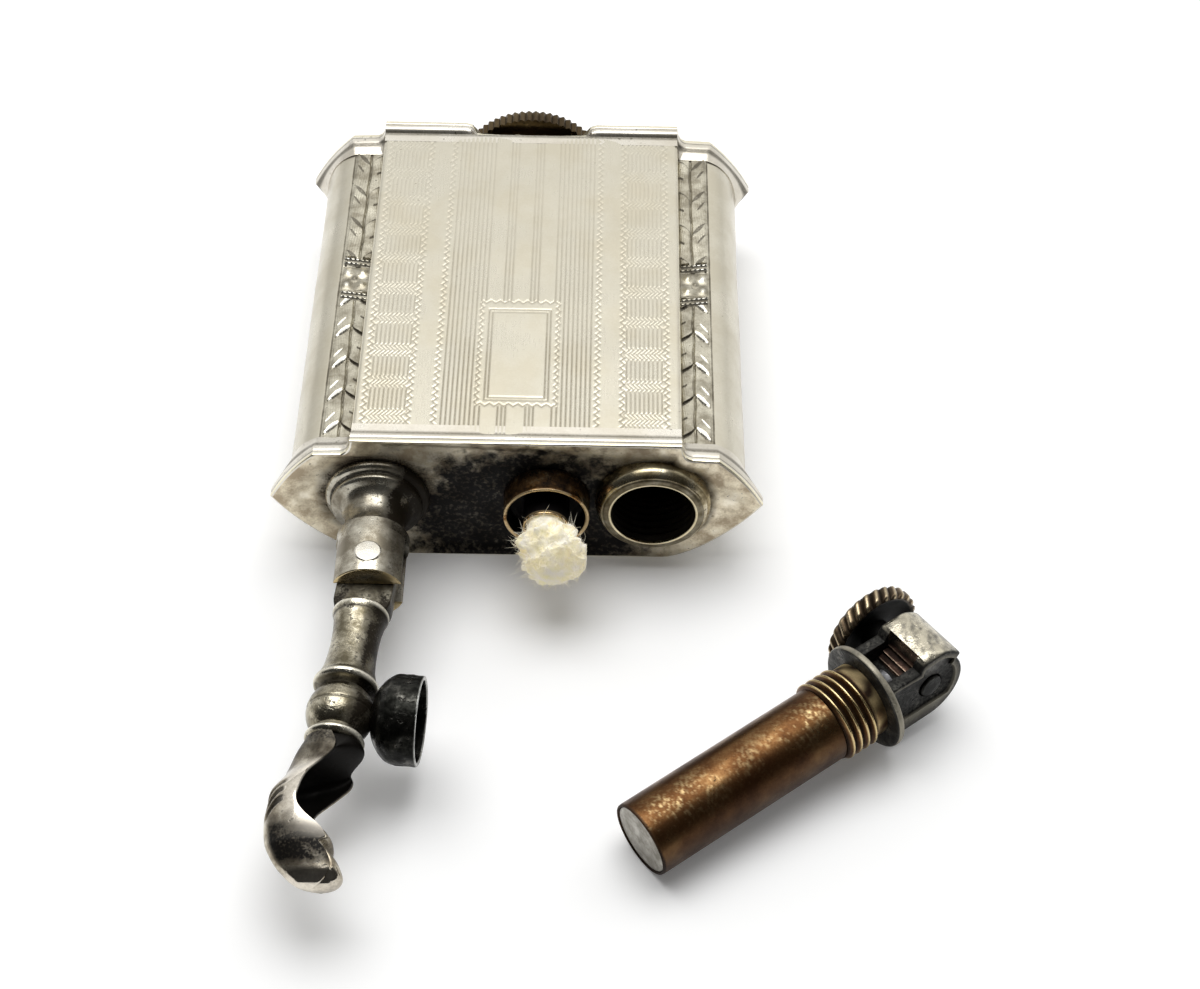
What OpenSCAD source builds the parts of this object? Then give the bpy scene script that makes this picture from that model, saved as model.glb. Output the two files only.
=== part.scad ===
// Pocket lighter with a swinging lift arm and a screw-in striker unit.
// The case lies on its back, as if put down on a table. X runs across the case, Y from its top
// to its base, and Z up through its thickness. The origin is the middle of the case's back.

/* [Case] */
// Width across the pointed edges of the end rims
rim_w = 42; // [40:0.5:46]
// Thickness of the case across the end rims
rim_t = 14.2; // [14.1:0.1:16]
// Length of the case, from rim to rim
case_l = 41.7; // [39:0.1:48]
// Width of the raised front panel
panel_w = 27.6; // [26:0.2:28.4]
// Drop from the raised panel to the engraved side bands
panel_step = 1.7; // [1.2:0.1:2]
// Width of each engraved side band
band_w = 3.2; // [2.6:0.1:3.3]
// Width of the flat on the back of the case
back_w = 25; // [22:0.5:26]
// How far the rims stand out past the sides of the case
rim_over = 1.4; // [1:0.1:1.8]
// How far the front panel lies below the rims
panel_in = 0.4; // [0.3:0.05:0.6]
// Sheet thickness of the case
wall = 0.5; // [0.4:0.05:0.7]
// Thickness of each end rim
rim_h = 1.3; // [1.1:0.1:1.6]
// Depth of the dish in each end plate
dish = 0.5; // [0.3:0.05:0.6]
// Width of the rolled edge round each dish
rim_edge = 1; // [0.8:0.1:1.2]

/* [Striker socket] */
// Place of the socket across the case
socket_x = 11.6; // [11:0.1:11.9]
// Radius of the socket's bore
socket_r = 3.6; // [3.6:0.02:3.7]
// Width of the rounded ring round the socket
socket_ring = 1.25; // [1:0.05:1.3]
// Height of the ring above the dish
socket_h = 1.85; // [1.5:0.05:2.2]
// Length of the socket's bore
socket_l = 5.2; // [4.8:0.1:6]

/* [Wick] */
// Place of the wick across the case
wick_x = 2.55; // [2.2:0.05:2.7]
// Outer radius of the wick guard
guard_r = 3.65; // [3.5:0.05:3.8]
// Wall of the wick guard
guard_wall = 0.4; // [0.3:0.05:0.5]
// Height of the wick guard above the dish
guard_h = 2.4; // [2:0.1:3]
// Outer radius of the wick tube
wick_tube_r = 1.95; // [1.8:0.05:2.1]
// Wall of the wick tube
wick_tube_wall = 0.2; // [0.15:0.05:0.3]
// Radius of the frayed end of the wick
wick_end_r = 3; // [2.6:0.1:3.1]
// Height of the frayed end above the guard
wick_out = 6.1; // [4:0.1:6.5]

/* [Arm post] */
// Place of the post across the case
post_x = -11.85; // [-12.2:0.05:-11.6]
// Radius of the forked part of the post
post_r = 3.05; // [2.9:0.05:3.2]
// Radius of the turned foot of the post
foot_r = 4.5; // [4.2:0.1:4.8]
// Height of the hinge pin above the dish
pin_h = 8.9; // [8.6:0.1:9.4]
// Width of the slot in the fork
slot_w = 2.3; // [2:0.1:2.5]
// Radius of the hinge pin
pin_r = 0.9; // [0.7:0.05:1]
// Thickness of the bowed spring in the fork
leaf_t = 0.25; // [0.2:0.05:0.3]

/* [Lift arm] */
// Angle that the open arm leans outwards
arm_lean = 4.8; // [0:0.2:8]
// Radius of the rounded hinge end
knuckle_r = 2.4; // [2.2:0.05:2.45]
// Largest radius of the hollow-sided shaft
shaft_r = 2.3; // [2.1:0.05:2.4]
// Smallest radius of the shaft
waist_r = 1.95; // [1.7:0.05:2]
// Radius of the ball that carries the snuffer
ball_r = 2.7; // [2.6:0.05:2.8]
// Radius of the collar above the ball
upper_collar_r = 2.55; // [2.4:0.05:2.8]
// Radius of the collar below the ball
lower_collar_r = 2.35; // [2.3:0.05:2.6]
// Length of the leaf that the thumb lifts
leaf_l = 13.1; // [12:0.1:14]
// Half width of the leaf at its broadest
leaf_w = 2.4; // [2.2:0.1:2.6]

/* [Snuffer] */
// Outer radius of the snuffer cup
cup_r = 3.65; // [3.6:0.05:3.9]
// Outer depth of the snuffer cup
cup_depth = 4.05; // [3.8:0.05:4.2]
// Wall of the snuffer cup
cup_wall = 0.35; // [0.3:0.05:0.45]
// Radius of the rivet that holds the cup to the ball
stud_r = 0.8; // [0.6:0.05:0.9]

/* [Striker unit] */
// Radius of the flint tube
tube_r = 3.15; // [3:0.05:3.2]
// Length of the flint tube outside the threaded collar
tube_l = 18.1; // [16:0.1:20]
// Radius over the thread
thread_r = 3.5; // [3.4:0.02:3.54]
// Length of the threaded collar, up to the flange
collar_l = 4.1; // [3.8:0.1:4.6]
// Pitch of the thread
pitch = 0.75; // [0.65:0.05:0.75]
// Radius of the flange
flange_r = 4.58; // [4.4:0.02:4.8]
// Thickness of the flange
flange_t = 0.7; // [0.5:0.05:0.8]
// Height of the wheel's axle above the seat of the flange
axle_h = 5.1; // [5.05:0.05:5.4]
// Radius of the rounded end of the wheel housing
housing_r = 3.35; // [3.3:0.05:3.5]
// Half width of the wheel housing along the axle
housing_w = 2.7; // [2.6:0.05:2.9]
// Height of the housing's flat top above the axle
housing_top = 3.7; // [3.4:0.05:3.8]
// Width of the window over the striking wheel
window_w = 3.4; // [3:0.1:3.5]
// Radius of the striking wheel
file_r = 2.5; // [2.3:0.05:2.55]
// Number of teeth on the striking wheel
file_teeth = 24; // [20:1:30]
// Radius of the thumb wheel
thumb_r = 4.25; // [4:0.05:4.3]
// Thickness of the thumb wheel's rim
thumb_t = 1.5; // [1.2:0.05:1.6]
// Gap between the thumb wheel and the housing
thumb_gap = 1.5; // [1:0.05:1.6]
// Number of ridges on the thumb wheel
thumb_ridges = 26; // [20:1:32]
// Radius of the axle
axle_r = 0.8; // [0.6:0.05:0.9]
// Radius of the flint
flint_r = 1.25; // [1.1:0.05:1.3]
// Length of the flint
flint_l = 4.5; // [3:0.1:5]
// Radius of the wire of the flint spring
wire_r = 0.18; // [0.12:0.02:0.2]
// Number of turns of the flint spring
spring_turns = 10; // [6:1:12]

/* [Place of the loose striker unit] */
// Place across the table of the flint tube's end
unit_x = 10.6; // [8:0.2:14]
// Place along the table of the flint tube's end
unit_y = -52.2; // [-57:0.2:-51.2]
// Direction in which the unit lies, counted from the X axis
unit_turn = 36; // [30:1:42]
// Roll of the unit about its own length
unit_roll = 4.2; // [0:0.2:4.8]

/* [Filler] */
// Radius of the knurled disc
disc_r = 7; // [6:0.05:7.02]
// Thickness of the knurled disc
disc_t = 1.3; // [1:0.1:2]
// Number of knurls round the disc
disc_knurls = 64; // [40:2:90]
// Radius of the filler screw's thread
screw_r = 2.2; // [1.8:0.1:2.5]
// Length of the filler screw's shank
screw_l = 4; // [3:0.1:5]
// Thickness of the leather washer
washer_t = 1.2; // [1:0.1:1.6]
// Outer radius of the leather washer
washer_r = 5; // [4.2:0.1:5.4]
// Half width of the notch in the base rim
notch_w = 5.8; // [5:0.1:6.2]

/* [Hidden] */
$fn = 64;
eps = 0.01;

// Clearances
running = 0.03;   // a pin or shaft that turns in its hole
slide_fit = 0.1;  // a part that slides or turns beside another
seat_gap = 0.05;  // the closed snuffer over the guard, and the flint against its wheel
soft_gap = 0.3;   // cotton against metal

// Planes and heights of the case
top_y = -case_l / 2;
base_y = case_l / 2;
mid_z = rim_t / 2;
top_seat = top_y + dish;
base_seat = base_y - dish;
inner_top = top_y + rim_h;
inner_base = base_y - rim_h;
rim_step = 1.1;
body_step = 0.2;
rim_bevel = 0.18;
skirt_step = 0.4;
lip_l = 1;

// Sizes of the pieces in the case
guard_y = top_seat - guard_h;
socket_y = top_seat - socket_h;
socket_end = socket_y + socket_l;
socket_neck = socket_r + 0.5;
well_r = tube_r + 0.15;
well_wall = 0.35;
well_ring = 0.6;
well_l = tube_l + collar_l - socket_l + 0.8;
tube_below = 1.4;
tube_out = 1.15;
wick_stem = wick_tube_r - wick_tube_wall - 0.05;
wick_below = case_l * 0.45;
guard_floor = 0.4;
packing_top = socket_end + well_ring + soft_gap;
packing_base = inner_base - 3;
bush_r = screw_r + 1.1;
bush_l = screw_l + 0.6;
screw_core = screw_r - 0.5;  // bottom of its thread, where the plain shank is drawn
knurl_d = 0.22;
coin_slot = 1;
coin_slot_d = 0.6;

// Sizes of the arm and its post
pin_y = top_seat - pin_h;
post_neck = post_r - 0.45;
post_shoulder = pin_h - 3.8;
post_tenon = pin_r + 0.6;
ear_end = 2;
slot_floor = knuckle_r + 0.45;
tongue_w = 2.35;
knuckle_t = slot_w - slide_fit;
knuckle_flat = knuckle_r - 0.12;
head_r = pin_r + 0.2;
head_seat = sqrt(post_r * post_r - head_r * head_r) - 0.05;
head_t = post_r + 0.05 - head_seat;
spring_sag = 0.5;
tongue_end = 4.2;
ball_s = wick_x - post_x;
collar_t = 0.7;
upper_s = ball_s - ball_r * 0.84 - collar_t;
lower_s = ball_s + ball_r * 0.84;
leaf_s = lower_s + collar_t;
cup_rim = guard_y - pin_y - seat_gap;
cup_back = cup_rim - cup_depth;
cup_straight = 1.6;
cup_seat = cup_back + 0.1;
stud_in = ball_r - 1.2;
stud_floor = cup_back + cup_wall + 0.08;
stud_head_r = stud_r + 0.5;
stud_head_t = 0.35;

// Sizes of the striker unit, measured along its length from the tube's end
flange_s = tube_l + collar_l;
axle_s = flange_s + axle_h;
lie_angle = atan((flange_r - tube_r) / flange_s);
unit_z = tube_r * cos(lie_angle);
tube_bore = flint_r + 0.2;
plug_r = tube_r - 0.25;
plug_t = 1.3;
plug_in = 0.08;
thread_l = 3;
thread_d = 0.42;
core_r = thread_r - thread_d;
body_s = flange_s + flange_t - 0.05;
nose_s = axle_s - 0.3;
side_rim = 0.55;
side_recess = 0.3;
file_hole = file_r + 0.15;
file_w = window_w - 2 * slide_fit;
file_tooth = 0.22;
axle_head_r = axle_r + 0.25;
axle_head_t = 0.35;
hub_r = axle_r + 0.55;
thumb_in = housing_w + thumb_gap;
thumb_dish = 0.6;
thumb_rim = 0.75;
flint_tip = axle_s - file_r - seat_gap;
plunger_s = flint_tip - flint_l;
plunger_cap = 0.6;
plunger_l = 2.2;
spring_mean = tube_bore - wire_r - 0.08;
window_from = flange_s + flange_t + 0.3;
window_to = axle_s - 0.7;

// Colours
nickel = [0.68, 0.66, 0.61];
dark_nickel = [0.42, 0.40, 0.36];
brass_brown = [0.45, 0.30, 0.16];
soot = [0.13, 0.12, 0.12];
brass = [0.72, 0.58, 0.33];
steel = [0.50, 0.51, 0.50];
cotton = [0.90, 0.87, 0.78];
leather_brown = [0.30, 0.18, 0.11];
flint_grey = [0.33, 0.33, 0.35];

// Points of a curve from a to c that is pulled towards b, leaving out a
function bow(a, b, c, n) =
    [for (i = [1:n]) let (t = i / n) (1 - t) * (1 - t) * a + 2 * t * (1 - t) * b + t * t * c];

// Right half of an end view of the case, from the front panel's edge round to the back.
// Each outline lies in by tip_in at its pointed side, face_in at the front and thin all round.
// Bulge 0 keeps the sides straight and bulge 1 makes them full, and step is the width of the
// slope between the panel and the band.
function half_outline(tip_in, face_in, thin, bulge, step) =
    let (
        half = rim_w / 2 - tip_in - thin,
        front = rim_t - face_in - thin,
        edge = [panel_w / 2 - thin / 2, front],
        foot = [panel_w / 2 + step - thin / 2, front - panel_step],
        band = [panel_w / 2 + band_w - tip_in / 4 - thin, front - panel_step - 0.1],
        tip = [half, mid_z],
        heel = [back_w / 2 + 3.4 - thin, 1.5 + thin],
        back = [back_w / 2 - thin / 2, thin],
        upper = (band + tip) / 2 * (1 - bulge) + [half, band[1] - 0.5] * bulge,
        lower = (tip + heel) / 2 * (1 - bulge) + [half, heel[1] + 1] * bulge
    )
    concat([edge], bow(edge, [edge[0] + 0.15, foot[1]], foot, 5), [band],
        bow(band, upper, tip, 7), bow(tip, lower, heel, 6), [back]);

function mirrored(p) = [for (i = [len(p) - 1:-1:0]) [-p[i][0], p[i][1]]];
function whole(p) = concat(p, mirrored(p));
function blend(p, q, t) = [for (i = [0:len(p) - 1]) p[i] * (1 - t) + q[i] * t];
function shrunk(p, across, up) = [for (q = p) [q[0] * across, mid_z + (q[1] - mid_z) * up]];

rim_half = half_outline(0, 0, 0, 0.22, rim_step);
body_half = half_outline(rim_over, panel_in, 0, 0.8, body_step);
cavity_half = half_outline(rim_over, panel_in, wall, 0.8, body_step);
dish_half = half_outline(0.3, 0, rim_edge, 0.22, rim_step);
lip_half = shrunk(cavity_half, 0.94, 0.86);
packing_half = shrunk(cavity_half, 0.97, 0.93);

// A flat outline carried along Y from y0 for a length l
module along_y(y0, l) {
    translate([0, y0 + l, 0]) rotate([90, 0, 0]) linear_extrude(height = l) children();
}

// A turned piece at x whose profile stands out from the plane y0 towards -Y
module turned_out(x, y0) {
    translate([x, y0, mid_z]) rotate([90, 0, 0]) rotate_extrude() children();
}

// A plain round hole or rod along Y
module rod_y(x, y0, l, r) {
    translate([x, y0 + l, mid_z]) rotate([90, 0, 0]) cylinder(h = l, r = r);
}

module case_shell() {
    color(nickel) along_y(inner_top, inner_base - inner_top) difference() {
        polygon(whole(body_half));
        polygon(whole(cavity_half));
    }
}

// The rim of an end plate, the flared edge behind it and the lip that fits inside the shell,
// drawn for the top and mirrored for the base
module rim_and_skirt() {
    edge_half = blend(rim_half, body_half, 0.14);
    along_y(top_y, rim_bevel) polygon(whole(edge_half));
    along_y(top_y + rim_bevel, rim_h - 2 * rim_bevel) polygon(whole(rim_half));
    along_y(inner_top - rim_bevel, rim_bevel) polygon(whole(edge_half));
    for (i = [0:2]) along_y(inner_top + i * skirt_step, skirt_step) difference() {
        polygon(whole(blend(rim_half, body_half, 0.35 + 0.22 * i)));
        polygon(whole(body_half));
    }
    along_y(inner_top, lip_l) difference() {
        polygon(whole(cavity_half));
        polygon(whole(lip_half));
    }
}

module top_plate() {
    color(nickel) difference() {
        rim_and_skirt();
        along_y(top_y - eps, dish + eps) polygon(whole(dish_half));
        rod_y(socket_x, top_y - eps, rim_h + 2 * eps, socket_neck);
        rod_y(wick_x, top_y - eps, rim_h + 2 * eps, wick_tube_r);
        rod_y(post_x, top_y - eps, rim_h + 2 * eps, post_tenon);
    }
}

module base_plate() {
    color(nickel) difference() {
        mirror([0, 1, 0]) rim_and_skirt();
        along_y(base_y - dish, dish + eps) polygon(whole(dish_half));
        rod_y(0, inner_base - eps, rim_h + 2 * eps, bush_r);
        along_y(base_y - rim_h, rim_h + eps) polygon([
            [-notch_w, rim_t + eps], [-notch_w + 0.7, rim_t - panel_in - 0.9],
            [notch_w - 0.7, rim_t - panel_in - 0.9], [notch_w, rim_t + eps]]);
    }
}

module striker_socket() {
    outer = socket_r + socket_ring;
    foot = 0.5;
    bead = socket_h - foot;
    color(dark_nickel) difference() {
        union() {
            turned_out(socket_x, top_seat) {
                square([outer - 0.15, foot]);
                translate([outer - bead, foot - 0.05]) intersection() {
                    circle(r = bead);
                    translate([-2 * bead, 0]) square([4 * bead, 2 * bead]);
                }
                square([outer - bead, socket_h - 0.05]);
            }
            rod_y(socket_x, top_seat - eps, socket_end - top_seat + eps, socket_neck);
        }
        rod_y(socket_x, socket_y - 1, socket_l + 2, socket_r);
    }
}

// The closed sleeve inside the case that keeps the fuel off the flint tube
module striker_well() {
    color(brass) difference() {
        union() {
            rod_y(socket_x, socket_end, well_ring, socket_neck);
            rod_y(socket_x, socket_end, well_l + well_wall, well_r + well_wall);
        }
        rod_y(socket_x, socket_end - eps, well_l + eps, well_r);
    }
}

module wick_guard() {
    lip = 0.35;
    color(brass) turned_out(wick_x, top_seat) difference() {
        union() {
            square([guard_r - 0.1, guard_h]);
            translate([guard_r - lip, guard_h - lip]) circle(r = lip);
            square([guard_r, lip]);
        }
        translate([0, guard_floor]) square([guard_r - guard_wall, guard_h]);
        square([wick_tube_r, 1]);
    }
}

module wick_tube() {
    h = inner_top + tube_below - guard_y + tube_out;
    color(brass) turned_out(wick_x, inner_top + tube_below) difference() {
        square([wick_tube_r, h]);
        translate([0, -eps]) square([wick_tube_r - wick_tube_wall, h + 1]);
    }
}

// The wick opens into a frayed mop above its tube and hangs down into the packing
module wick() {
    h = wick_out + guard_h;
    mouth = guard_h + tube_out;
    full = h - 1.8;
    swell = [for (i = [1:9]) let (t = i / 9)
        [wick_stem + (wick_end_r - wick_stem) * pow(sin(90 * t), 0.8), mouth + (full - mouth) * t]];
    dome = [for (i = [1:4]) [wick_end_r * cos(20 * i), full + (h - full) * sin(22.5 * i)]];
    color(cotton) {
        turned_out(wick_x, top_seat) polygon(concat(
            [[0, -soft_gap], [wick_stem, -soft_gap], [wick_stem, mouth]], swell, dome, [[0, h]]));
        rod_y(wick_x, top_seat + soft_gap, wick_below, wick_stem);
    }
}

module cotton_packing() {
    color(cotton) difference() {
        along_y(packing_top, packing_base - packing_top) polygon(whole(packing_half));
        rod_y(socket_x, packing_top - 1, case_l, well_r + well_wall + soft_gap);
        rod_y(wick_x, packing_top - 1, wick_below, wick_tube_r);
        rod_y(0, packing_base - screw_l, case_l, bush_r + soft_gap);
    }
}

// Profile of the post's turned foot and neck, from the dish up to the fork
module post_profile() {
    lower = 0.8;
    upper = 1.7;
    square([foot_r - lower / 2, lower]);
    translate([foot_r - lower / 2, lower / 2]) circle(r = lower / 2);
    square([foot_r - 0.9, upper]);
    translate([foot_r - 0.95, upper - 0.4]) circle(r = 0.42);
    polygon(concat([[0, upper - 0.2], [foot_r - 1.1, upper - 0.2]],
        bow([foot_r - 1.1, upper - 0.2], [post_neck, upper + 0.2], [post_neck, post_shoulder - 0.9], 5),
        bow([post_neck, post_shoulder - 0.9], [post_neck, post_shoulder - 0.3], [post_r, post_shoulder], 4),
        [[0, post_shoulder]]));
}

module arm_post() {
    color(dark_nickel) difference() {
        turned_out(post_x, top_seat) {
            post_profile();
            translate([0, post_shoulder - eps]) square([post_r, pin_h + ear_end - post_shoulder]);
            translate([0, -rim_h - soft_gap]) square([post_tenon, rim_h + soft_gap + eps]);
        }
        translate([post_x - 2 * post_r, pin_y - 3 * ear_end, mid_z - slot_w / 2])
            cube([4 * post_r, 3 * ear_end + slot_floor, slot_w]);
        translate([post_x, pin_y, -1]) cylinder(h = rim_t + 2, r = pin_r);
        for (side = [0, 1]) translate([post_x, pin_y, mid_z]) mirror([0, 0, side])
            translate([0, 0, head_seat]) cylinder(h = post_r, r = head_r);
    }
}

module hinge_pin() {
    color(nickel) translate([post_x, pin_y, mid_z]) {
        translate([0, 0, -head_seat]) cylinder(h = 2 * head_seat, r = pin_r);
        for (side = [0, 1]) mirror([0, 0, side]) translate([0, 0, head_seat]) cylinder(h = head_t, r = head_r);
    }
}

// A bowed leaf on the floor of the fork, which the flats of the arm's hinge end snap onto
module arm_spring() {
    half = post_r - 0.75;
    reach = half * half / (2 * spring_sag) + spring_sag / 2;
    side = 0.15;
    color(steel) intersection() {
        translate([post_x, pin_y + slot_floor - spring_sag + reach, mid_z - slot_w / 2 + side]) difference() {
            cylinder(h = slot_w - 2 * side, r = reach);
            translate([0, 0, -1]) cylinder(h = slot_w + 2, r = reach - leaf_t);
        }
        translate([post_x - half, pin_y + slot_floor - 1, 0]) cube([2 * half, 1, rim_t]);
    }
}

// The lift arm's own frame: the pin at its origin and the arm along -Y
module on_arm() {
    translate([post_x, pin_y, mid_z]) rotate([0, 0, -arm_lean]) children();
}

// A turned profile about the arm's length, with the distance from the pin as its height
module arm_turned() {
    rotate([90, 0, 0]) rotate_extrude() children();
}

// Profile of the hollow-sided shaft and the collar above the ball
module shaft_profile() {
    middle = (tongue_end + upper_s) / 2 + 0.3;
    polygon(concat([[0, tongue_end], [shaft_r - 0.2, tongue_end], [shaft_r, tongue_end + 0.3]],
        bow([shaft_r, tongue_end + 0.3], [waist_r - 0.25, middle], [upper_collar_r - 0.3, upper_s - 0.1], 10),
        [[upper_collar_r, upper_s], [upper_collar_r, upper_s + collar_t], [0, upper_s + collar_t]]));
}

module lower_collar_profile() {
    bevel = 0.2;
    polygon([[0, lower_s], [lower_collar_r - bevel, lower_s], [lower_collar_r, lower_s + bevel],
        [lower_collar_r, leaf_s - bevel], [lower_collar_r - bevel, leaf_s], [0, leaf_s]]);
}

module lift_arm() {
    tongue_l = tongue_end + 0.5;
    color(dark_nickel) on_arm() difference() {
        union() {
            translate([0, 0, -knuckle_t / 2]) cylinder(h = knuckle_t, r = knuckle_r);
            intersection() {
                translate([-tongue_w, -tongue_l, -knuckle_t / 2]) cube([2 * tongue_w, tongue_l, knuckle_t]);
                translate([0, 0, -rim_t]) cylinder(h = 2 * rim_t, r = tongue_end + 0.35);
            }
            arm_turned() shaft_profile();
            translate([0, -ball_s, 0]) sphere(r = ball_r);
            arm_turned() lower_collar_profile();
        }
        translate([0, 0, -rim_t]) cylinder(h = 2 * rim_t, r = pin_r + running);
        rotate([0, 0, arm_lean]) translate([-post_r, knuckle_flat, -post_r]) cube(2 * post_r);
        translate([knuckle_flat, -knuckle_r / 2, -post_r]) cube(2 * post_r);
        arm_turned() translate([ball_r + 0.04, ball_s]) circle(r = 0.16);
        translate([cup_seat, -ball_s - ball_r, -ball_r]) cube(2 * ball_r);
        translate([stud_in, -ball_s, 0]) rotate([0, 90, 0]) cylinder(h = ball_r, r = stud_r);
    }
}

// Stations along the leaf: share of its length, outer edge and chord in millimetres, share of
// the half width, how far it is hollowed (from -1, full round, to 1, no wall), and lean in degrees
leaf_path = [
    [0, -2.2, 0, 0.88, -1, 0], [0.04, -2.4, 0.4, 0.9, -0.75, 3], [0.09, -2.8, 0.85, 0.92, -0.3, 9],
    [0.14, -3.25, 1.05, 0.94, 0.15, 17], [0.2, -3.75, 0.72, 0.96, 0.55, 25], [0.28, -4.05, -0.1, 0.96, 0.74, 27],
    [0.34, -4.1, -0.62, 0.96, 0.78, 21], [0.4, -4.1, -1.05, 0.95, 0.8, 14], [0.5, -4.05, -1.22, 0.93, 0.7, 9],
    [0.58, -4, -0.8, 0.92, 0.35, 4], [0.64, -3.9, 0.15, 0.9, 0.05, 0], [0.7, -3.72, 0.98, 0.86, -0.1, 0],
    [0.76, -3.44, 0.72, 0.82, -0.05, 0], [0.83, -2.88, 1.5, 0.74, -0.15, 0], [0.88, -2.33, 1.8, 0.66, -0.2, 0],
    [0.93, -1.65, 1.75, 0.56, -0.3, 0], [0.97, -0.95, 1.45, 0.42, -0.4, 0], [1, -0.1, 0.75, 0.1, -0.6, 0]];
leaf_arc = 9;

// One station's closed ring of points: round the outside, then back through the hollow
function leaf_ring(i) =
    let (
        s = leaf_path[i],
        deep = s[2] - s[1],
        wide = s[3] * leaf_w,
        lean = s[5],
        outer = [for (j = [0:leaf_arc]) let (f = -90 + 180 * j / leaf_arc) [-deep * cos(f), wide * sin(f)]],
        inner = [for (j = [leaf_arc:-1:0]) let (f = -90 + 180 * j / leaf_arc)
            [-deep * s[4] * cos(f) + 0.02, 0.88 * wide * sin(f)]]
    )
    [for (p = concat(outer, inner)) [
        s[2] + p[0] * cos(lean) - p[1] * sin(lean),
        -leaf_s - s[0] * leaf_l,
        p[1] * cos(lean) + p[0] * sin(lean)]];

module thumb_leaf() {
    n = 2 * (leaf_arc + 1);
    m = len(leaf_path);
    last = (m - 1) * n;
    skin = [for (i = [0:m - 2], j = [0:n - 1]) let (k = (j + 1) % n) each
        [[i * n + j, i * n + k, (i + 1) * n + k], [i * n + j, (i + 1) * n + k, (i + 1) * n + j]]];
    root = [for (j = [0:leaf_arc - 1]) each [[j + 1, j, n - 1 - j], [j + 1, n - 1 - j, n - 2 - j]]];
    tip = [for (j = [0:leaf_arc - 1]) each
        [[last + j, last + j + 1, last + n - 1 - j], [last + j + 1, last + n - 2 - j, last + n - 1 - j]]];
    color(dark_nickel) on_arm()
        polyhedron(points = [for (i = [0:m - 1]) each leaf_ring(i)], faces = concat(skin, root, tip));
}

// The snuffer's own frame: its axis along Z, out of its mouth, from the middle of the ball
module on_ball() {
    on_arm() translate([0, -ball_s, 0]) rotate([0, 90, 0]) children();
}

// Half profile of a round-backed cup of radius r, from its back to its rim
function cup_profile(r, back) =
    let (
        shoulder = cup_rim - cup_straight,
        round = [for (i = [0:8]) let (f = 90 * i / 8) [r * sin(f), shoulder - (shoulder - back) * cos(f)]]
    )
    concat(round, [[r, cup_rim]]);

module snuffer_cup() {
    inner_r = cup_r - cup_wall;
    hollow = cup_profile(inner_r, cup_back + cup_wall);
    color(soot) on_ball() difference() {
        rotate_extrude() polygon(concat(cup_profile(cup_r, cup_back), [[0, cup_rim]]));
        rotate_extrude() polygon(concat(hollow, [[inner_r, cup_rim + 1], [0, cup_rim + 1]]));
        cylinder(h = cup_seat, r = ball_r);
        cylinder(h = cup_rim, r = stud_r);
        translate([0, 0, stud_floor]) cylinder(h = 1, r = stud_head_r + slide_fit / 2);
    }
}

module snuffer_stud() {
    color(soot) on_ball() {
        translate([0, 0, stud_in]) cylinder(h = stud_floor - stud_in, r = stud_r);
        translate([0, 0, stud_floor]) cylinder(h = stud_head_t, r = stud_head_r);
    }
}

// The striker unit's own frame: its length along X from the tube's end, the thumb wheel on its
// +Y side and the window of the housing on top
module on_unit() {
    translate([unit_x, unit_y, unit_z]) rotate([-unit_roll, -lie_angle, unit_turn]) children();
}

// A turned profile about the unit's length, with the distance from the tube's end as its height
module unit_turned() {
    rotate([90, 0, 90]) rotate_extrude() children();
}

module unit_rod(s, l, r) {
    translate([s, 0, 0]) rotate([0, 90, 0]) cylinder(h = l, r = r);
}

// A round rod along the axle, from y0 to y1
module axle_rod(y0, y1, r) {
    translate([axle_s, y1, 0]) rotate([90, 0, 0]) cylinder(h = y1 - y0, r = r);
}

module flint_tube() {
    color(brass_brown) on_unit() difference() {
        unit_rod(0, tube_l, tube_r);
        unit_rod(-1, tube_l + 2, tube_bore);
        unit_rod(-1, plug_t + 1, plug_r);
    }
}

module tube_end_plug() {
    color(steel) on_unit() unit_rod(plug_in, plug_t - plug_in, plug_r);
}

// One cross-section of the ridge that winds round the collar, thinning out at both ends
function ridge_ring(i, n) =
    let (
        turn = thread_l / pitch - 1,
        a = 360 * turn * i / n,
        s = tube_l + 0.4 + pitch * turn * i / n,
        grow = min(1, 12 * i / n + 0.15, 12 * (n - i) / n + 0.15),
        root = core_r - 0.09,
        top = core_r + thread_d * grow,
        half = pitch * 0.47,
        crest = pitch * 0.12
    )
    [for (p = [[root, -half], [top, -crest], [top, crest], [root, half]])
        [s + p[1], p[0] * sin(a), p[0] * cos(a)]];

module thread_collar() {
    n = 75;
    k = 4;
    skin = [for (i = [0:n - 1], j = [0:k - 1]) let (q = (j + 1) % k) each
        [[i * k + j, (i + 1) * k + q, i * k + q], [i * k + j, (i + 1) * k + j, (i + 1) * k + q]]];
    ends = [[for (j = [0:k - 1]) j], [for (j = [k - 1:-1:0]) n * k + j]];
    color(brass_brown) on_unit() difference() {
        union() {
            unit_rod(tube_l, thread_l + 0.2, core_r);
            unit_rod(tube_l, 0.18, thread_r);
            unit_rod(tube_l + thread_l, collar_l - thread_l, tube_r);
            polyhedron(points = [for (i = [0:n]) each ridge_ring(i, n)], faces = concat(skin, ends));
        }
        unit_rod(0, flange_s + 1, tube_bore);
    }
}

// Side view of the wheel housing, rounded at its nose and flat over the wheel
module housing_side() {
    translate([nose_s, 0.05]) circle(r = housing_r);
    translate([body_s, 0.05 - housing_r]) square([nose_s - body_s, 2 * housing_r]);
    translate([body_s, 0]) square([nose_s - body_s + 1.6, housing_top - 1]);
    translate([nose_s + 0.2, 0.05]) intersection() {
        circle(r = housing_top);
        translate([-1.2, 0]) square([housing_r + 1.05, housing_top]);
    }
}

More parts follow.
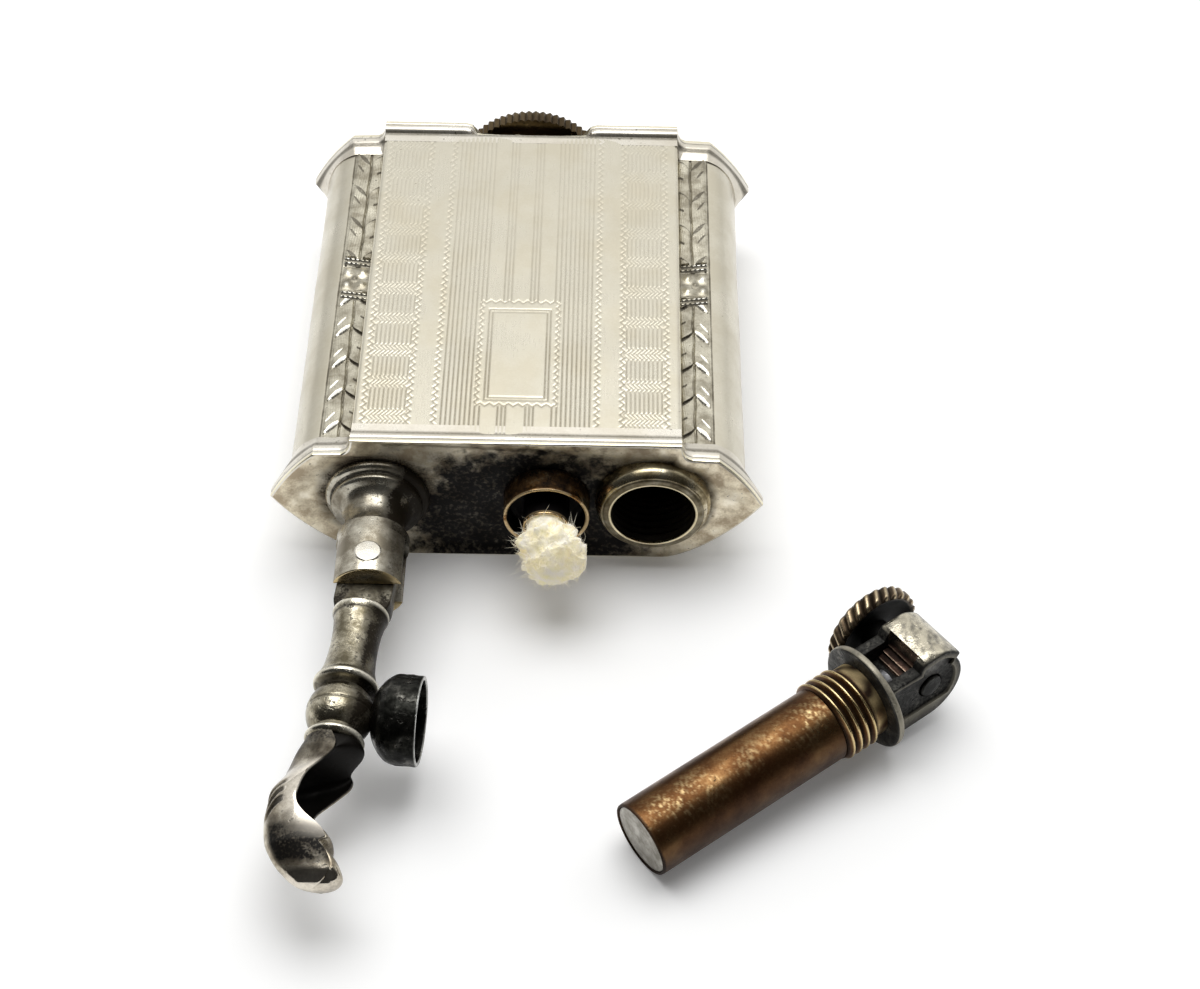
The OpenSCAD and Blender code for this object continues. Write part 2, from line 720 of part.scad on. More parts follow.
// The sunk part of the housing's plain side
module side_panel() {
    low = 1.5;
    intersection() {
        union() {
            translate([nose_s, 0.05]) circle(r = housing_r - side_rim);
            translate([body_s + 0.4, -low]) square([nose_s - body_s, housing_r - 0.5 + low]);
        }
        translate([body_s, -low]) square([3 * housing_r, 3 * housing_r]);
    }
}

module wheel_housing() {
    inner = window_w / 2;
    color(dark_nickel) on_unit() difference() {
        union() {
            unit_rod(flange_s, flange_t, flange_r);
            intersection() {
                unit_rod(body_s, axle_h + housing_r, flange_r - 0.25);
                translate([0, housing_w, 0]) rotate([90, 0, 0])
                    linear_extrude(height = 2 * housing_w) housing_side();
            }
        }
        axle_rod(-inner, inner, file_hole);
        translate([window_from, -inner, 0]) cube([window_to - window_from, window_w, housing_top + 1]);
        unit_rod(flange_s - 1, axle_h, tube_bore);
        axle_rod(-housing_w - 1, housing_w + 1, axle_r + running);
        axle_rod(-housing_w - 1, -housing_w + axle_head_t + slide_fit + 0.05, axle_head_r + slide_fit);
        translate([0, -housing_w + side_recess, 0]) rotate([90, 0, 0]) linear_extrude(height = 1) side_panel();
    }
}

// Points of a wheel with n sharp-sided teeth between the radii low and high
function toothed(n, low, high) =
    [for (i = [0:n - 1], q = [0:2]) let (a = 360 * (i + [0, 0.42, 0.58][q]) / n, r = q == 0 ? low : high)
        [r * cos(a), r * sin(a)]];

// Points of a wheel with n rounded ridges under the radius r
function ridged(n, r) =
    [for (i = [0:n - 1], q = [0:3]) let (a = 360 * (i + q / 4) / n, low = r - [0.38, 0.12, 0, 0.12][q])
        [low * cos(a), low * sin(a)]];

module striker_wheel() {
    color([0.30, 0.22, 0.18]) on_unit() difference() {
        translate([axle_s, file_w / 2, 0]) rotate([90, 0, 0]) linear_extrude(height = file_w)
            polygon(toothed(file_teeth, file_r - file_tooth, file_r));
        axle_rod(-file_w, file_w, axle_r);
    }
}

module thumb_wheel() {
    thumb_out = thumb_in + thumb_t;
    color([0.48, 0.38, 0.24]) on_unit() difference() {
        union() {
            translate([axle_s, thumb_out, 0]) rotate([90, 0, 0])
                linear_extrude(height = thumb_t, twist = 9, slices = 3) polygon(ridged(thumb_ridges, thumb_r));
            axle_rod(housing_w + slide_fit, thumb_out + 0.2, hub_r);
        }
        difference() {
            axle_rod(thumb_in - 1, thumb_in + thumb_dish, thumb_r - thumb_rim);
            axle_rod(thumb_in - 2, thumb_out, hub_r);
        }
        axle_rod(0, thumb_out + 1, axle_r);
    }
}

module wheel_axle() {
    head = -housing_w + 0.1;
    color(steel) on_unit() {
        axle_rod(head, thumb_in + thumb_t + 0.3, axle_r);
        axle_rod(head, head + axle_head_t, axle_head_r);
    }
}

module flint() {
    color(flint_grey) on_unit() unit_rod(plunger_s, flint_l, flint_r);
}

// The cap pushes the flint, and the spring sits round the stem
module flint_plunger() {
    color(brass) on_unit() {
        unit_rod(plunger_s - plunger_cap, plunger_cap, flint_r);
        unit_rod(plunger_s - plunger_l, plunger_l - plunger_cap + eps, spring_mean - wire_r - slide_fit);
    }
}

// One cross-section of the spring's wire
function spring_ring(i, n, from, l) =
    let (a = 360 * spring_turns * i / n, s = from + l * i / n)
    [for (j = [0:5]) let (b = 60 * j, r = spring_mean + wire_r * cos(b))
        [s + wire_r * sin(b), r * cos(a), r * sin(a)]];

module flint_spring() {
    n = spring_turns * 10;
    k = 6;
    end_gap = wire_r + 0.02;
    from = plug_t + end_gap;
    l = plunger_s - plunger_cap - end_gap - from;
    skin = [for (i = [0:n - 1], j = [0:k - 1]) let (q = (j + 1) % k) each
        [[i * k + j, i * k + q, (i + 1) * k + q], [i * k + j, (i + 1) * k + q, (i + 1) * k + j]]];
    ends = [[for (j = [k - 1:-1:0]) j], [for (j = [0:k - 1]) n * k + j]];
    color(steel) on_unit()
        polyhedron(points = [for (i = [0:n]) each spring_ring(i, n, from, l)], faces = concat(skin, ends));
}

module filler_bush() {
    color(brass) difference() {
        rod_y(0, base_seat - bush_l, bush_l, bush_r);
        rod_y(0, base_seat - bush_l - eps, bush_l + 1, screw_r + running);
    }
}

module filler_washer() {
    color(leather_brown) difference() {
        rod_y(0, base_seat, washer_t, washer_r);
        rod_y(0, base_seat - 1, washer_t + 2, screw_r + slide_fit);
    }
}

module filler_screw() {
    disc_y = base_seat + washer_t;
    color(dark_nickel) difference() {
        union() {
            along_y(disc_y, disc_t) translate([0, mid_z])
                polygon(toothed(disc_knurls, disc_r - knurl_d, disc_r));
            rod_y(0, base_seat - screw_l, screw_l + washer_t + eps, screw_core);
        }
        translate([-disc_r - 1, disc_y + disc_t - coin_slot_d, mid_z - coin_slot / 2])
            cube([2 * disc_r + 2, coin_slot, coin_slot]);
    }
}

case_shell();
top_plate();
base_plate();
striker_socket();
striker_well();
wick_guard();
wick_tube();
wick();
cotton_packing();
arm_post();
hinge_pin();
arm_spring();
lift_arm();
thumb_leaf();
snuffer_cup();
snuffer_stud();
flint_tube();
tube_end_plug();
thread_collar();
wheel_housing();
striker_wheel();
thumb_wheel();
wheel_axle();
flint();
flint_plunger();
flint_spring();
filler_bush();
filler_washer();
filler_screw();
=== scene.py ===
import math
import bmesh
import bpy
import numpy as np
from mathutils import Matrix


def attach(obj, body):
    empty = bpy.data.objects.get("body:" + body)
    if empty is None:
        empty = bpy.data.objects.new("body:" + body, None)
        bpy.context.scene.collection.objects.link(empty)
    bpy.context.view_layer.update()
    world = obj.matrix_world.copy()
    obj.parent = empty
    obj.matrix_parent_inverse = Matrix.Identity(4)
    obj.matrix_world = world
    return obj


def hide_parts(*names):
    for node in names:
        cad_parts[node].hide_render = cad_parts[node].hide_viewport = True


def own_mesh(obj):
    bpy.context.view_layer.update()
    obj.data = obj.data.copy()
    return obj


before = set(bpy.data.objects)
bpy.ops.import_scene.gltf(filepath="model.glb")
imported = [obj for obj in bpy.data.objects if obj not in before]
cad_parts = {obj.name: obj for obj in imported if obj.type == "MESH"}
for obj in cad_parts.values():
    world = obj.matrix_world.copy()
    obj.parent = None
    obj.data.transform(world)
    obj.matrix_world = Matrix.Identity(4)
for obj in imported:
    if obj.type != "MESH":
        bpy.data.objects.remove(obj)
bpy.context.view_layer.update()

# The camera looks down on the lighter from its top end, at the distance and lens that make
# the case's corners converge as they do in the photograph.
scene = bpy.context.scene
scene.view_settings.view_transform = "Standard"
lens = bpy.data.cameras.new("camera")
lens.lens = 69.03
lens.sensor_width = 36.0
lens.clip_start = 0.01
camera = bpy.data.objects.new("camera", lens)
camera.location = (0.006723, -0.151009, 0.153577)
camera.rotation_euler = [math.radians(a) for a in (41.825, -0.781, 0.718)]
scene.collection.objects.link(camera)
scene.camera = camera


# The stage: a white table in a white room that is bright behind the lighter and dim overhead
# and on the camera's side, and one broad lamp above and behind.
def paint(name):
    """A new material, its shader, and a call that adds a node, fills its inputs and gives one
    output back."""
    material = bpy.data.materials.new(name)
    material.use_nodes = True
    tree = material.node_tree

    def put(kind, inputs=None, out=0, **settings):
        node = tree.nodes.new(kind)
        for key, value in settings.items():
            setattr(node, key, value)
        for key, value in (inputs or {}).items():
            if isinstance(value, bpy.types.NodeSocket):
                tree.links.new(value, node.inputs[key])
            else:
                node.inputs[key].default_value = value
        return node.outputs[out]

    return material, tree, put


table_half = 1.5
table_mesh = bpy.data.meshes.new("table")
table_mesh.from_pydata([(x, y, -0.00002) for x, y in
                        ((-table_half, -table_half), (table_half, -table_half),
                         (table_half, table_half), (-table_half, table_half))], [], [(0, 1, 2, 3)])
table = bpy.data.objects.new("table", table_mesh)
scene.collection.objects.link(table)
table_white, tree, put = paint("table_white")
shader = tree.nodes["Principled BSDF"]
shader.inputs["Roughness"].default_value = 0.8
shader.inputs["Specular IOR Level"].default_value = 0.1
shader.inputs["Emission Color"].default_value = (1, 1, 0.995, 1)
# The table is whiter, and glows a little, where it is seen directly, in a mirror or through glass.
table_glow = 0.09
ray = tree.nodes.new("ShaderNodeLightPath")
seen = put("ShaderNodeMath", {0: ray.outputs["Is Camera Ray"], 1: ray.outputs["Is Glossy Ray"]},
           operation="MAXIMUM")
seen = put("ShaderNodeMath", {0: seen, 1: ray.outputs["Is Transmission Ray"]}, operation="MAXIMUM")
glow = put("ShaderNodeMath", {0: seen, 1: table_glow}, operation="MULTIPLY")
tree.links.new(glow, shader.inputs["Emission Strength"])
paper = put("ShaderNodeMix", {0: seen, 6: (0.80, 0.80, 0.79, 1), 7: (1, 1, 1, 1)}, 2,
            data_type="RGBA")
tree.links.new(paper, shader.inputs["Base Color"])
table_mesh.materials.append(table_white)

room = bpy.data.worlds.new("room")
room.use_nodes = True
scene.world = room
tree = room.node_tree
sky = tree.nodes["Background"]
toward = tree.nodes.new("ShaderNodeTexCoord")
split = tree.nodes.new("ShaderNodeSeparateXYZ")
tree.links.new(toward.outputs["Generated"], split.inputs[0])


def sky_level(source, first, last, low, high):
    """Smooth change of the room's brightness along one direction, between two places."""
    node = tree.nodes.new("ShaderNodeMapRange")
    node.interpolation_type = "SMOOTHSTEP"
    tree.links.new(source, node.inputs[0])
    for socket, value in zip(node.inputs[1:5], (first, last, low, high)):
        socket.default_value = value
    return node.outputs[0]


# Three changes are multiplied: away from the camera, upwards, and from left to right.
level = None
for source, first, last, low, high in ((split.outputs[1], -0.15, 0.45, 0.05, 1.06),
                                       (split.outputs[2], -0.05, 0.40, 0.72, 1.0),
                                       (split.outputs[0], -0.75, 0.75, 0.87, 1.13)):
    part = sky_level(source, first, last, low, high)
    if level is None:
        level = part
        continue
    product = tree.nodes.new("ShaderNodeMath")
    product.operation = "MULTIPLY"
    tree.links.new(level, product.inputs[0])
    tree.links.new(part, product.inputs[1])
    level = product.outputs[0]
ray = tree.nodes.new("ShaderNodeLightPath")
pick = tree.nodes.new("ShaderNodeMix")
tree.links.new(ray.outputs["Is Camera Ray"], pick.inputs[0])
tree.links.new(level, pick.inputs[2])
pick.inputs[3].default_value = 1.0
sky.inputs[0].default_value = (1, 1, 0.99, 1)
tree.links.new(pick.outputs[0], sky.inputs[1])


soft_box = bpy.data.lights.new("soft_box", "AREA")
soft_box.shape = "RECTANGLE"
soft_box.size, soft_box.size_y = 0.42, 0.34
soft_box.energy = 1.45
hung = bpy.data.objects.new("soft_box", soft_box)
hung.location = (-0.05, 0.09, 0.42)
scene.collection.objects.link(hung)


# The shell of the case: nickel plated sheet brass, folded round four sides with a raised front
# panel, a narrow band down each side of it, full rounded sides and a narrower back.
# All lengths are in millimetres. The rim stands out past the shell by rim_over at the sides and
# by panel_in at the front; dish is how deep the end plates are sunk.
case_l, rim_w, rim_t = 41.7, 42.0, 14.2
panel_w, panel_step, band_w, back_w = 27.6, 1.7, 3.2, 25.0
rim_over, panel_in, wall, rim_h, dish = 1.4, 0.4, 0.5, 1.3, 0.5
mid_z = rim_t / 2
top_y = -case_l / 2
top_seat, inner_top = top_y + dish, top_y + rim_h
front_z = rim_t - panel_in


def bow(a, b, c, n):
    """Points of a parabola from a to c that is pulled towards b."""
    t = np.linspace(0, 1, n)[:, None]
    return (1 - t) ** 2 * np.array(a) + 2 * t * (1 - t) * np.array(b) + t ** 2 * np.array(c)


def case_outline(tip_in, face_in, thin, bulge, step, lowered=0.0):
    """End view of the case as a closed line: along the front panel, down the step, across the
    band, round the pointed or full side, along the back, and the same mirrored."""
    side, front = rim_w / 2 - tip_in - thin, rim_t - face_in - thin
    edge = np.array([panel_w / 2 - thin / 2, front - lowered])
    foot = np.array([panel_w / 2 + step - thin / 2, front - panel_step - lowered])
    band = np.array([panel_w / 2 + band_w - tip_in / 4 - thin, front - panel_step - 0.1])
    tip, heel = np.array([side, mid_z]), np.array([back_w / 2 + 3.4 - thin, 1.5 + thin])
    back = np.array([back_w / 2 - thin / 2, thin])
    upper = (band + tip) / 2 * (1 - bulge) + np.array([side, band[1] - 0.5]) * bulge
    lower = (tip + heel) / 2 * (1 - bulge) + np.array([side, heel[1] + 1]) * bulge
    flat = np.linspace([0, edge[1]], edge, 30)[:-1]
    band = band - [0, lowered * 0.6]
    right = np.concatenate([
        flat, bow(edge, [edge[0] + 0.15, foot[1]], foot, 9)[:-1], np.linspace(foot, band, 8)[:-1],
        bow(band, upper, tip, 22)[:-1], bow(tip, lower, heel, 20)[:-1],
        bow(heel, [back[0] + 1.2, thin], back, 6)[:-1], np.linspace(back, [0, thin], 8)])
    left = right[::-1][1:] * [-1, 1]
    return np.concatenate([right, left])


def lumps(points, size, seed, waves=12):
    """Smooth irregular waves, about -1 to 1: the mean of sine waves in random directions whose
    lengths are near the size."""
    rng = np.random.default_rng(seed)
    k = rng.normal(size=(3, waves))
    k *= 2 * np.pi / size / np.linalg.norm(k, axis=0) * rng.uniform(0.7, 1.4, waves)
    return np.sin(points @ k + rng.uniform(0, 7, waves)).mean(-1) * 2


def surface(name, grids, body, material, replaces=(), marks=None, sharp=38):
    """One piece from grids of points in millimetres. Each grid joins its neighbouring points
    with faces; points in the same cell of a fine net become one, which closes seams and poles;
    the faces are then turned outwards. Marks are values for each point, such as how worn: 0 is
    none, 1 is full, and more than 1 covers the fine grain too."""
    weld = 2e-4
    count, quads = 0, []
    for g in grids:
        i = count + np.arange(g.shape[0] * g.shape[1]).reshape(g.shape[:2])
        quads.append(np.stack([i[:-1, :-1], i[1:, :-1], i[1:, 1:], i[:-1, 1:]], -1).reshape(-1, 4))
        count += i.size
    points = np.concatenate([g.reshape(-1, 3) for g in grids])
    cell = np.floor(points / weld + 0.37).astype(np.int64)
    _, first, back = np.unique(cell, axis=0, return_index=True, return_inverse=True)
    quads = back.reshape(-1)[np.concatenate(quads)]
    new_corner = quads != np.roll(quads, 1, axis=1)
    keep = new_corner.sum(1) > 2
    keep &= (quads[:, 0] != quads[:, 2]) & (quads[:, 1] != quads[:, 3])
    quads, new_corner = quads[keep], new_corner[keep]
    corners = quads[new_corner]
    starts = np.concatenate([[0], np.cumsum(new_corner.sum(1))[:-1]])
    mesh = bpy.data.meshes.new(name)
    mesh.vertices.add(len(first))
    mesh.vertices.foreach_set("co", (points[first] * 0.001).ravel())
    mesh.loops.add(len(corners))
    mesh.loops.foreach_set("vertex_index", corners.astype(np.int32))
    mesh.polygons.add(len(starts))
    mesh.polygons.foreach_set("loop_start", starts.astype(np.int32))
    mesh.update(calc_edges=True)
    for key, values in (marks or {}).items():
        layer = mesh.attributes.new(key, "FLOAT", "POINT")
        values = np.concatenate([np.ravel(v) for v in values])[first]
        layer.data.foreach_set("value", values.astype(np.float32))
    shaped = bmesh.new()
    shaped.from_mesh(mesh)
    bmesh.ops.recalc_face_normals(shaped, faces=shaped.faces)
    shaped.to_mesh(mesh)
    shaped.free()
    mesh.validate()
    mesh.polygons.foreach_set("use_smooth", np.ones(len(mesh.polygons), dtype=bool))
    mesh.set_sharp_from_angle(angle=math.radians(sharp))
    piece = bpy.data.objects.new(name, mesh)
    scene.collection.objects.link(piece)
    mesh.materials.append(material)
    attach(piece, body)
    if replaces:
        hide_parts(*replaces)
    return piece


def metal(name, deep, plain, light, low, worn, rough=(0.22, 0.42), patch=0.35, grain=7.0,
          brushed=(1, 1, 1), bump=0.006, pits=0.36, spread=(0.38, 0.52, 0.66), soot=None):
    """Worn metal, on Object coordinates turned into millimetres. Broad patches and fine grain
    choose between the shades deep, plain and light. The attribute low brings a tarnished colour,
    used for real tarnishing and for painted shade, and worn that of rubbed metal, used for real
    wear and for painted highlights; pits are dark dots, and hairline scratches run where
    the brushing is stretched. Colours are red, green and blue."""
    deep, plain, light, low, worn = ((*colour, 1) for colour in (deep, plain, light, low, worn))
    material, tree, put = paint(name)
    shader = tree.nodes["Principled BSDF"]
    where = put("ShaderNodeTexCoord", out="Object")
    mm = put("ShaderNodeMapping", {"Vector": where, "Scale": (1000, 1000, 1000)})
    along = put("ShaderNodeMapping", {"Vector": mm, "Scale": brushed})

    def noise(scale, detail, vector=mm):
        return put("ShaderNodeTexNoise", {"Vector": vector, "Scale": scale, "Detail": detail,
                                          "Roughness": 0.6})

    def combine(a, b, op="ADD", clamp=False):
        return put("ShaderNodeMath", {0: a, 1: b}, operation=op, use_clamp=clamp)

    def blend(f, a, b):
        return put("ShaderNodeMix", {0: f, 6: a, 7: b}, 2, data_type="RGBA")

    def between(value, first, last, to_first=0.0, to_last=1.0):
        return put("ShaderNodeMapRange", {0: value, 1: first, 2: last, 3: to_first, 4: to_last})

    patches = noise(patch, 6)
    fine = noise(grain, 3)
    hair = noise(9.0, 2, along)
    shade = combine(patches, combine(combine(fine, 0.5, "SUBTRACT"), 0.22, "MULTIPLY"))
    ramp_node = tree.nodes.new("ShaderNodeValToRGB")
    ramp = ramp_node.color_ramp
    ramp.elements[0].position, ramp.elements[0].color = spread[0], deep
    ramp.elements[1].position, ramp.elements[1].color = spread[2], light
    ramp.elements.new(spread[1]).color = plain
    tree.links.new(shade, ramp_node.inputs[0])
    colour = ramp_node.outputs[0]
    # The attribute low carries real tarnishing and painted shade alike, and worn carries real wear
    # and painted highlights alike.
    tarnish_and_shade = put("ShaderNodeAttribute", {}, "Fac", attribute_name="low")
    rubbed = put("ShaderNodeAttribute", {}, "Fac", attribute_name="worn")
    tarnish_and_shade = combine(tarnish_and_shade, between(fine, 0.3, 0.7, 0.65, 1.15), "MULTIPLY", True)
    dots = between(noise(grain * 0.45, 2), pits - 0.06, pits, 1.0, 0.0)
    dots = combine(dots, between(patches, 0.45, 0.6), "MULTIPLY")
    colour = blend(combine(dots, 0.75, "MULTIPLY"), colour, low)
    colour = blend(tarnish_and_shade, colour, low)
    rub = combine(rubbed, between(fine, 0.3, 0.6, 0.75, 1.0), "MULTIPLY", True)
    colour = blend(rub, colour, worn)
    if soot:
        colour = blend(soot(put, mm, noise, between, combine), colour, (0.006, 0.005, 0.005, 1))
    tree.links.new(colour, shader.inputs["Base Color"])
    shine = between(shade, 0.35, 0.65, rough[1], rough[0])
    shine = combine(shine, combine(tarnish_and_shade, 0.25, "MULTIPLY"))
    shine = combine(shine, combine(rubbed, -0.12, "MULTIPLY"))
    shine = combine(shine, combine(hair, 0.12, "MULTIPLY"))
    tree.links.new(combine(shine, -0.05, "ADD", True), shader.inputs["Roughness"])
    height = combine(combine(fine, 0.6, "MULTIPLY"), combine(hair, 0.5, "MULTIPLY"))
    height = combine(height, combine(dots, -1.2, "MULTIPLY"))
    skin = put("ShaderNodeBump", {"Height": height, "Strength": 1.0, "Distance": bump * 0.001})
    tree.links.new(skin, shader.inputs["Normal"])
    tree.links.new(between(tarnish_and_shade, 0.0, 1.0, 1.0, 0.35), shader.inputs["Metallic"])
    tree.links.new(between(tarnish_and_shade, 0.0, 1.0, 0.5, 0.12), shader.inputs["Specular IOR Level"])
    return material


nickel = metal("worn_nickel", (0.53, 0.49, 0.39), (0.58, 0.545, 0.45), (0.61, 0.575, 0.48),
               (0.15, 0.12, 0.07), (0.90, 0.88, 0.82), rough=(0.25, 0.34), patch=0.16, grain=5.0,
               brushed=(1, 0.06, 1), bump=0.004, pits=0.30)

shell_out = case_outline(rim_over, panel_in, thin=0, bulge=0.8, step=0.2, lowered=0.17)
shell_in = case_outline(rim_over, panel_in + 0.15, thin=wall, bulge=0.8, step=0.2)
shell_y = np.linspace(inner_top + 0.1, -inner_top - 0.1, 60)


def along_case(line, y):
    """A closed line in the end view, at a place along the case."""
    return np.stack([line[:, 0], np.full(len(line), y), line[:, 1]], -1)


shell_rows = [along_case(shell_out, y) for y in shell_y]
shell_rows += [along_case(shell_in, y) for y in shell_y[::-15]]
shell_grid = np.stack(shell_rows + shell_rows[:1])
side_from, side_dent = 16.7, 0.05
side_share = np.clip((np.abs(shell_grid[..., 0]) - side_from) / 1.5, 0, 1)
shell_grid[..., 0] -= (np.sign(shell_grid[..., 0]) * side_share * side_dent
                       * (1 + lumps(shell_grid, 11.0, 3)))
surface("case_shell_sides", [shell_grid], "case", nickel, ["case_shell"])


# The front panel carries engine-turned line engraving, cut into the plate: blocks of fine
# upright lines, wavy blocks at the sides, zigzag borders, and a bare framed tablet.
engrave_x, engrave_end = -0.2, 19.62
line_depth = 0.05


def zigzag(t):
    """A wave of straight slopes between -1 and 1 that repeats each time t grows by 1."""
    return 4 * np.abs(t - np.floor(t + 0.5)) - 1


def cut(distance, half):
    """Section of a V-shaped cut: 1 at its middle, 0 from half its width outwards."""
    return np.clip(1 - np.abs(distance) / half, 0, 1)


def fine_lines(x, first, last, pitch, half):
    """Cuts a pitch apart between two places across the panel."""
    n = np.clip(np.round((x - first) / pitch), 0, round((last - first) / pitch))
    return cut(x - first - n * pitch, half)


def engraving(x, y):
    """How deep the pattern is cut, from 0 to 1, at places on the panel in millimetres."""
    side = np.abs(x - engrave_x)
    # Upright lines, then the outer lines, which run straight and wavy by turns.
    lines = fine_lines(side, 3.05, 6.25, 0.40, 0.115)
    stretch = zigzag((y + 17.35) / 3.9)
    wavy = np.clip(-(stretch + 0.12) * 4, 0, 1)
    shift = 0.27 * wavy * zigzag(y / 1.2)
    lines = np.maximum(lines, 0.9 * fine_lines(side - shift, 9.35, 12.4, 0.38, 0.11))
    # Zigzag borders, and the fine lines down the middle.
    for place in (6.85, 9.0, 12.8):
        lines = np.maximum(lines, cut(side - place - 0.2 * zigzag(y / 0.8), 0.17))
    lines = np.maximum(lines, fine_lines(side, 0.84, 1.5, 0.33, 0.12))
    # The tablet is bare inside a zigzag frame and two plain ones.
    frame_y, frame_l, frame_w = -9.615, 6.285, 3.36
    box = np.maximum(side - frame_w, np.abs(y - frame_y) - frame_l)
    upright = side - frame_w > np.abs(y - frame_y) - frame_l
    wave = 0.17 * zigzag(np.where(upright, y, x) / 0.8)
    lines = np.where(box < 0.12, 0, lines)
    lines = np.maximum(lines, cut(box - wave, 0.16))
    for half_x, half_l in ((2.7, 5.53), (2.4, 5.23)):
        lines = np.maximum(lines, cut(np.maximum(side - half_x, np.abs(y + 9.82) - half_l), 0.12))
    return lines * np.clip((engrave_end - np.abs(y)) / 0.1, 0, 1)


def kept(x, y):
    """How much of the cuts is left, from 0 to 1: least where a thumb has rubbed the panel,
    towards the base and along the middle."""
    spots = lumps(np.stack([x, y, 0 * x], -1), 6.0, 11)
    return np.clip(0.62 - 0.030 * y + 0.10 * spots, 0.30, 1.0)


def lidded(sheet, drop):
    """A sheet closed into a thin plate: its edge repeated a drop lower, and one point under
    its middle."""
    plate = np.pad(sheet, ((2, 2), (2, 2), (0, 0)), mode="edge")
    outer = np.ones(plate.shape[:2], bool)
    outer[2:-2, 2:-2] = False
    plate[outer, 2] -= drop
    centre = plate[plate.shape[0] // 2, plate.shape[1] // 2] - [0, 0, drop]
    plate[0], plate[-1], plate[:, 0], plate[:, -1] = centre, centre, centre, centre
    return plate


def padded_mark(mark):
    """Values of a sheet's points, carried on to the points that lidded adds."""
    return np.pad(mark, 2, mode="edge")


panel_y = np.arange(-19.6, 19.61, 0.11)
roll = bow([13.4, front_z], [13.8, front_z], [13.8, front_z - 0.4], 8)
fall = bow([13.8, front_z - 0.4], [13.82, front_z - panel_step],
           [14.0, front_z - panel_step - 0.05], 9)
edge_path = np.concatenate([roll[1:], fall[1:]])
for name, flat in (("engraved_panel_middle", np.arange(-4.3, 3.901, 0.05)),
                   ("engraved_panel_right", np.arange(3.9, 13.401, 0.05)),
                   ("engraved_panel_left", np.arange(-13.4, -4.299, 0.05))):
    path = np.stack([flat, np.full(len(flat), front_z)], -1)
    if "right" in name:
        path = np.concatenate([path, edge_path])
    if "left" in name:
        path = np.concatenate([edge_path[::-1] * [-1, 1], path])
    x, y = np.meshgrid(path[:, 0], panel_y)
    z = np.broadcast_to(path[:, 1], x.shape).copy()
    carved = np.where(np.abs(x) < 13.35, engraving(x, y), 0)
    sheet = np.stack([x, y, z], -1)
    sheet[..., 2] += 0.02 * lumps(sheet, 9.0, 5) * np.clip((13.2 - np.abs(x)) / 2, 0, 1)
    left = kept(x, y)
    sheet[..., 2] -= line_depth * carved * (0.25 + 0.75 * left)
    surface(name, [lidded(sheet, 0.14)], "case", nickel,
            marks={"low": [padded_mark(0.80 * carved ** 1.5 * left)]}, sharp=80)


# Down each side of the panel runs a chased band: pairs of overlapping leaves on a stem that
# run both ways from a square rosette, with cuts along the leaves' outer edges that carry a
# painted highlight on the band's near half and painted shade on its far half.
band_in, band_out, band_z = 13.92, 16.72, 12.03
stem, leaf_step = 0.40, 3.9


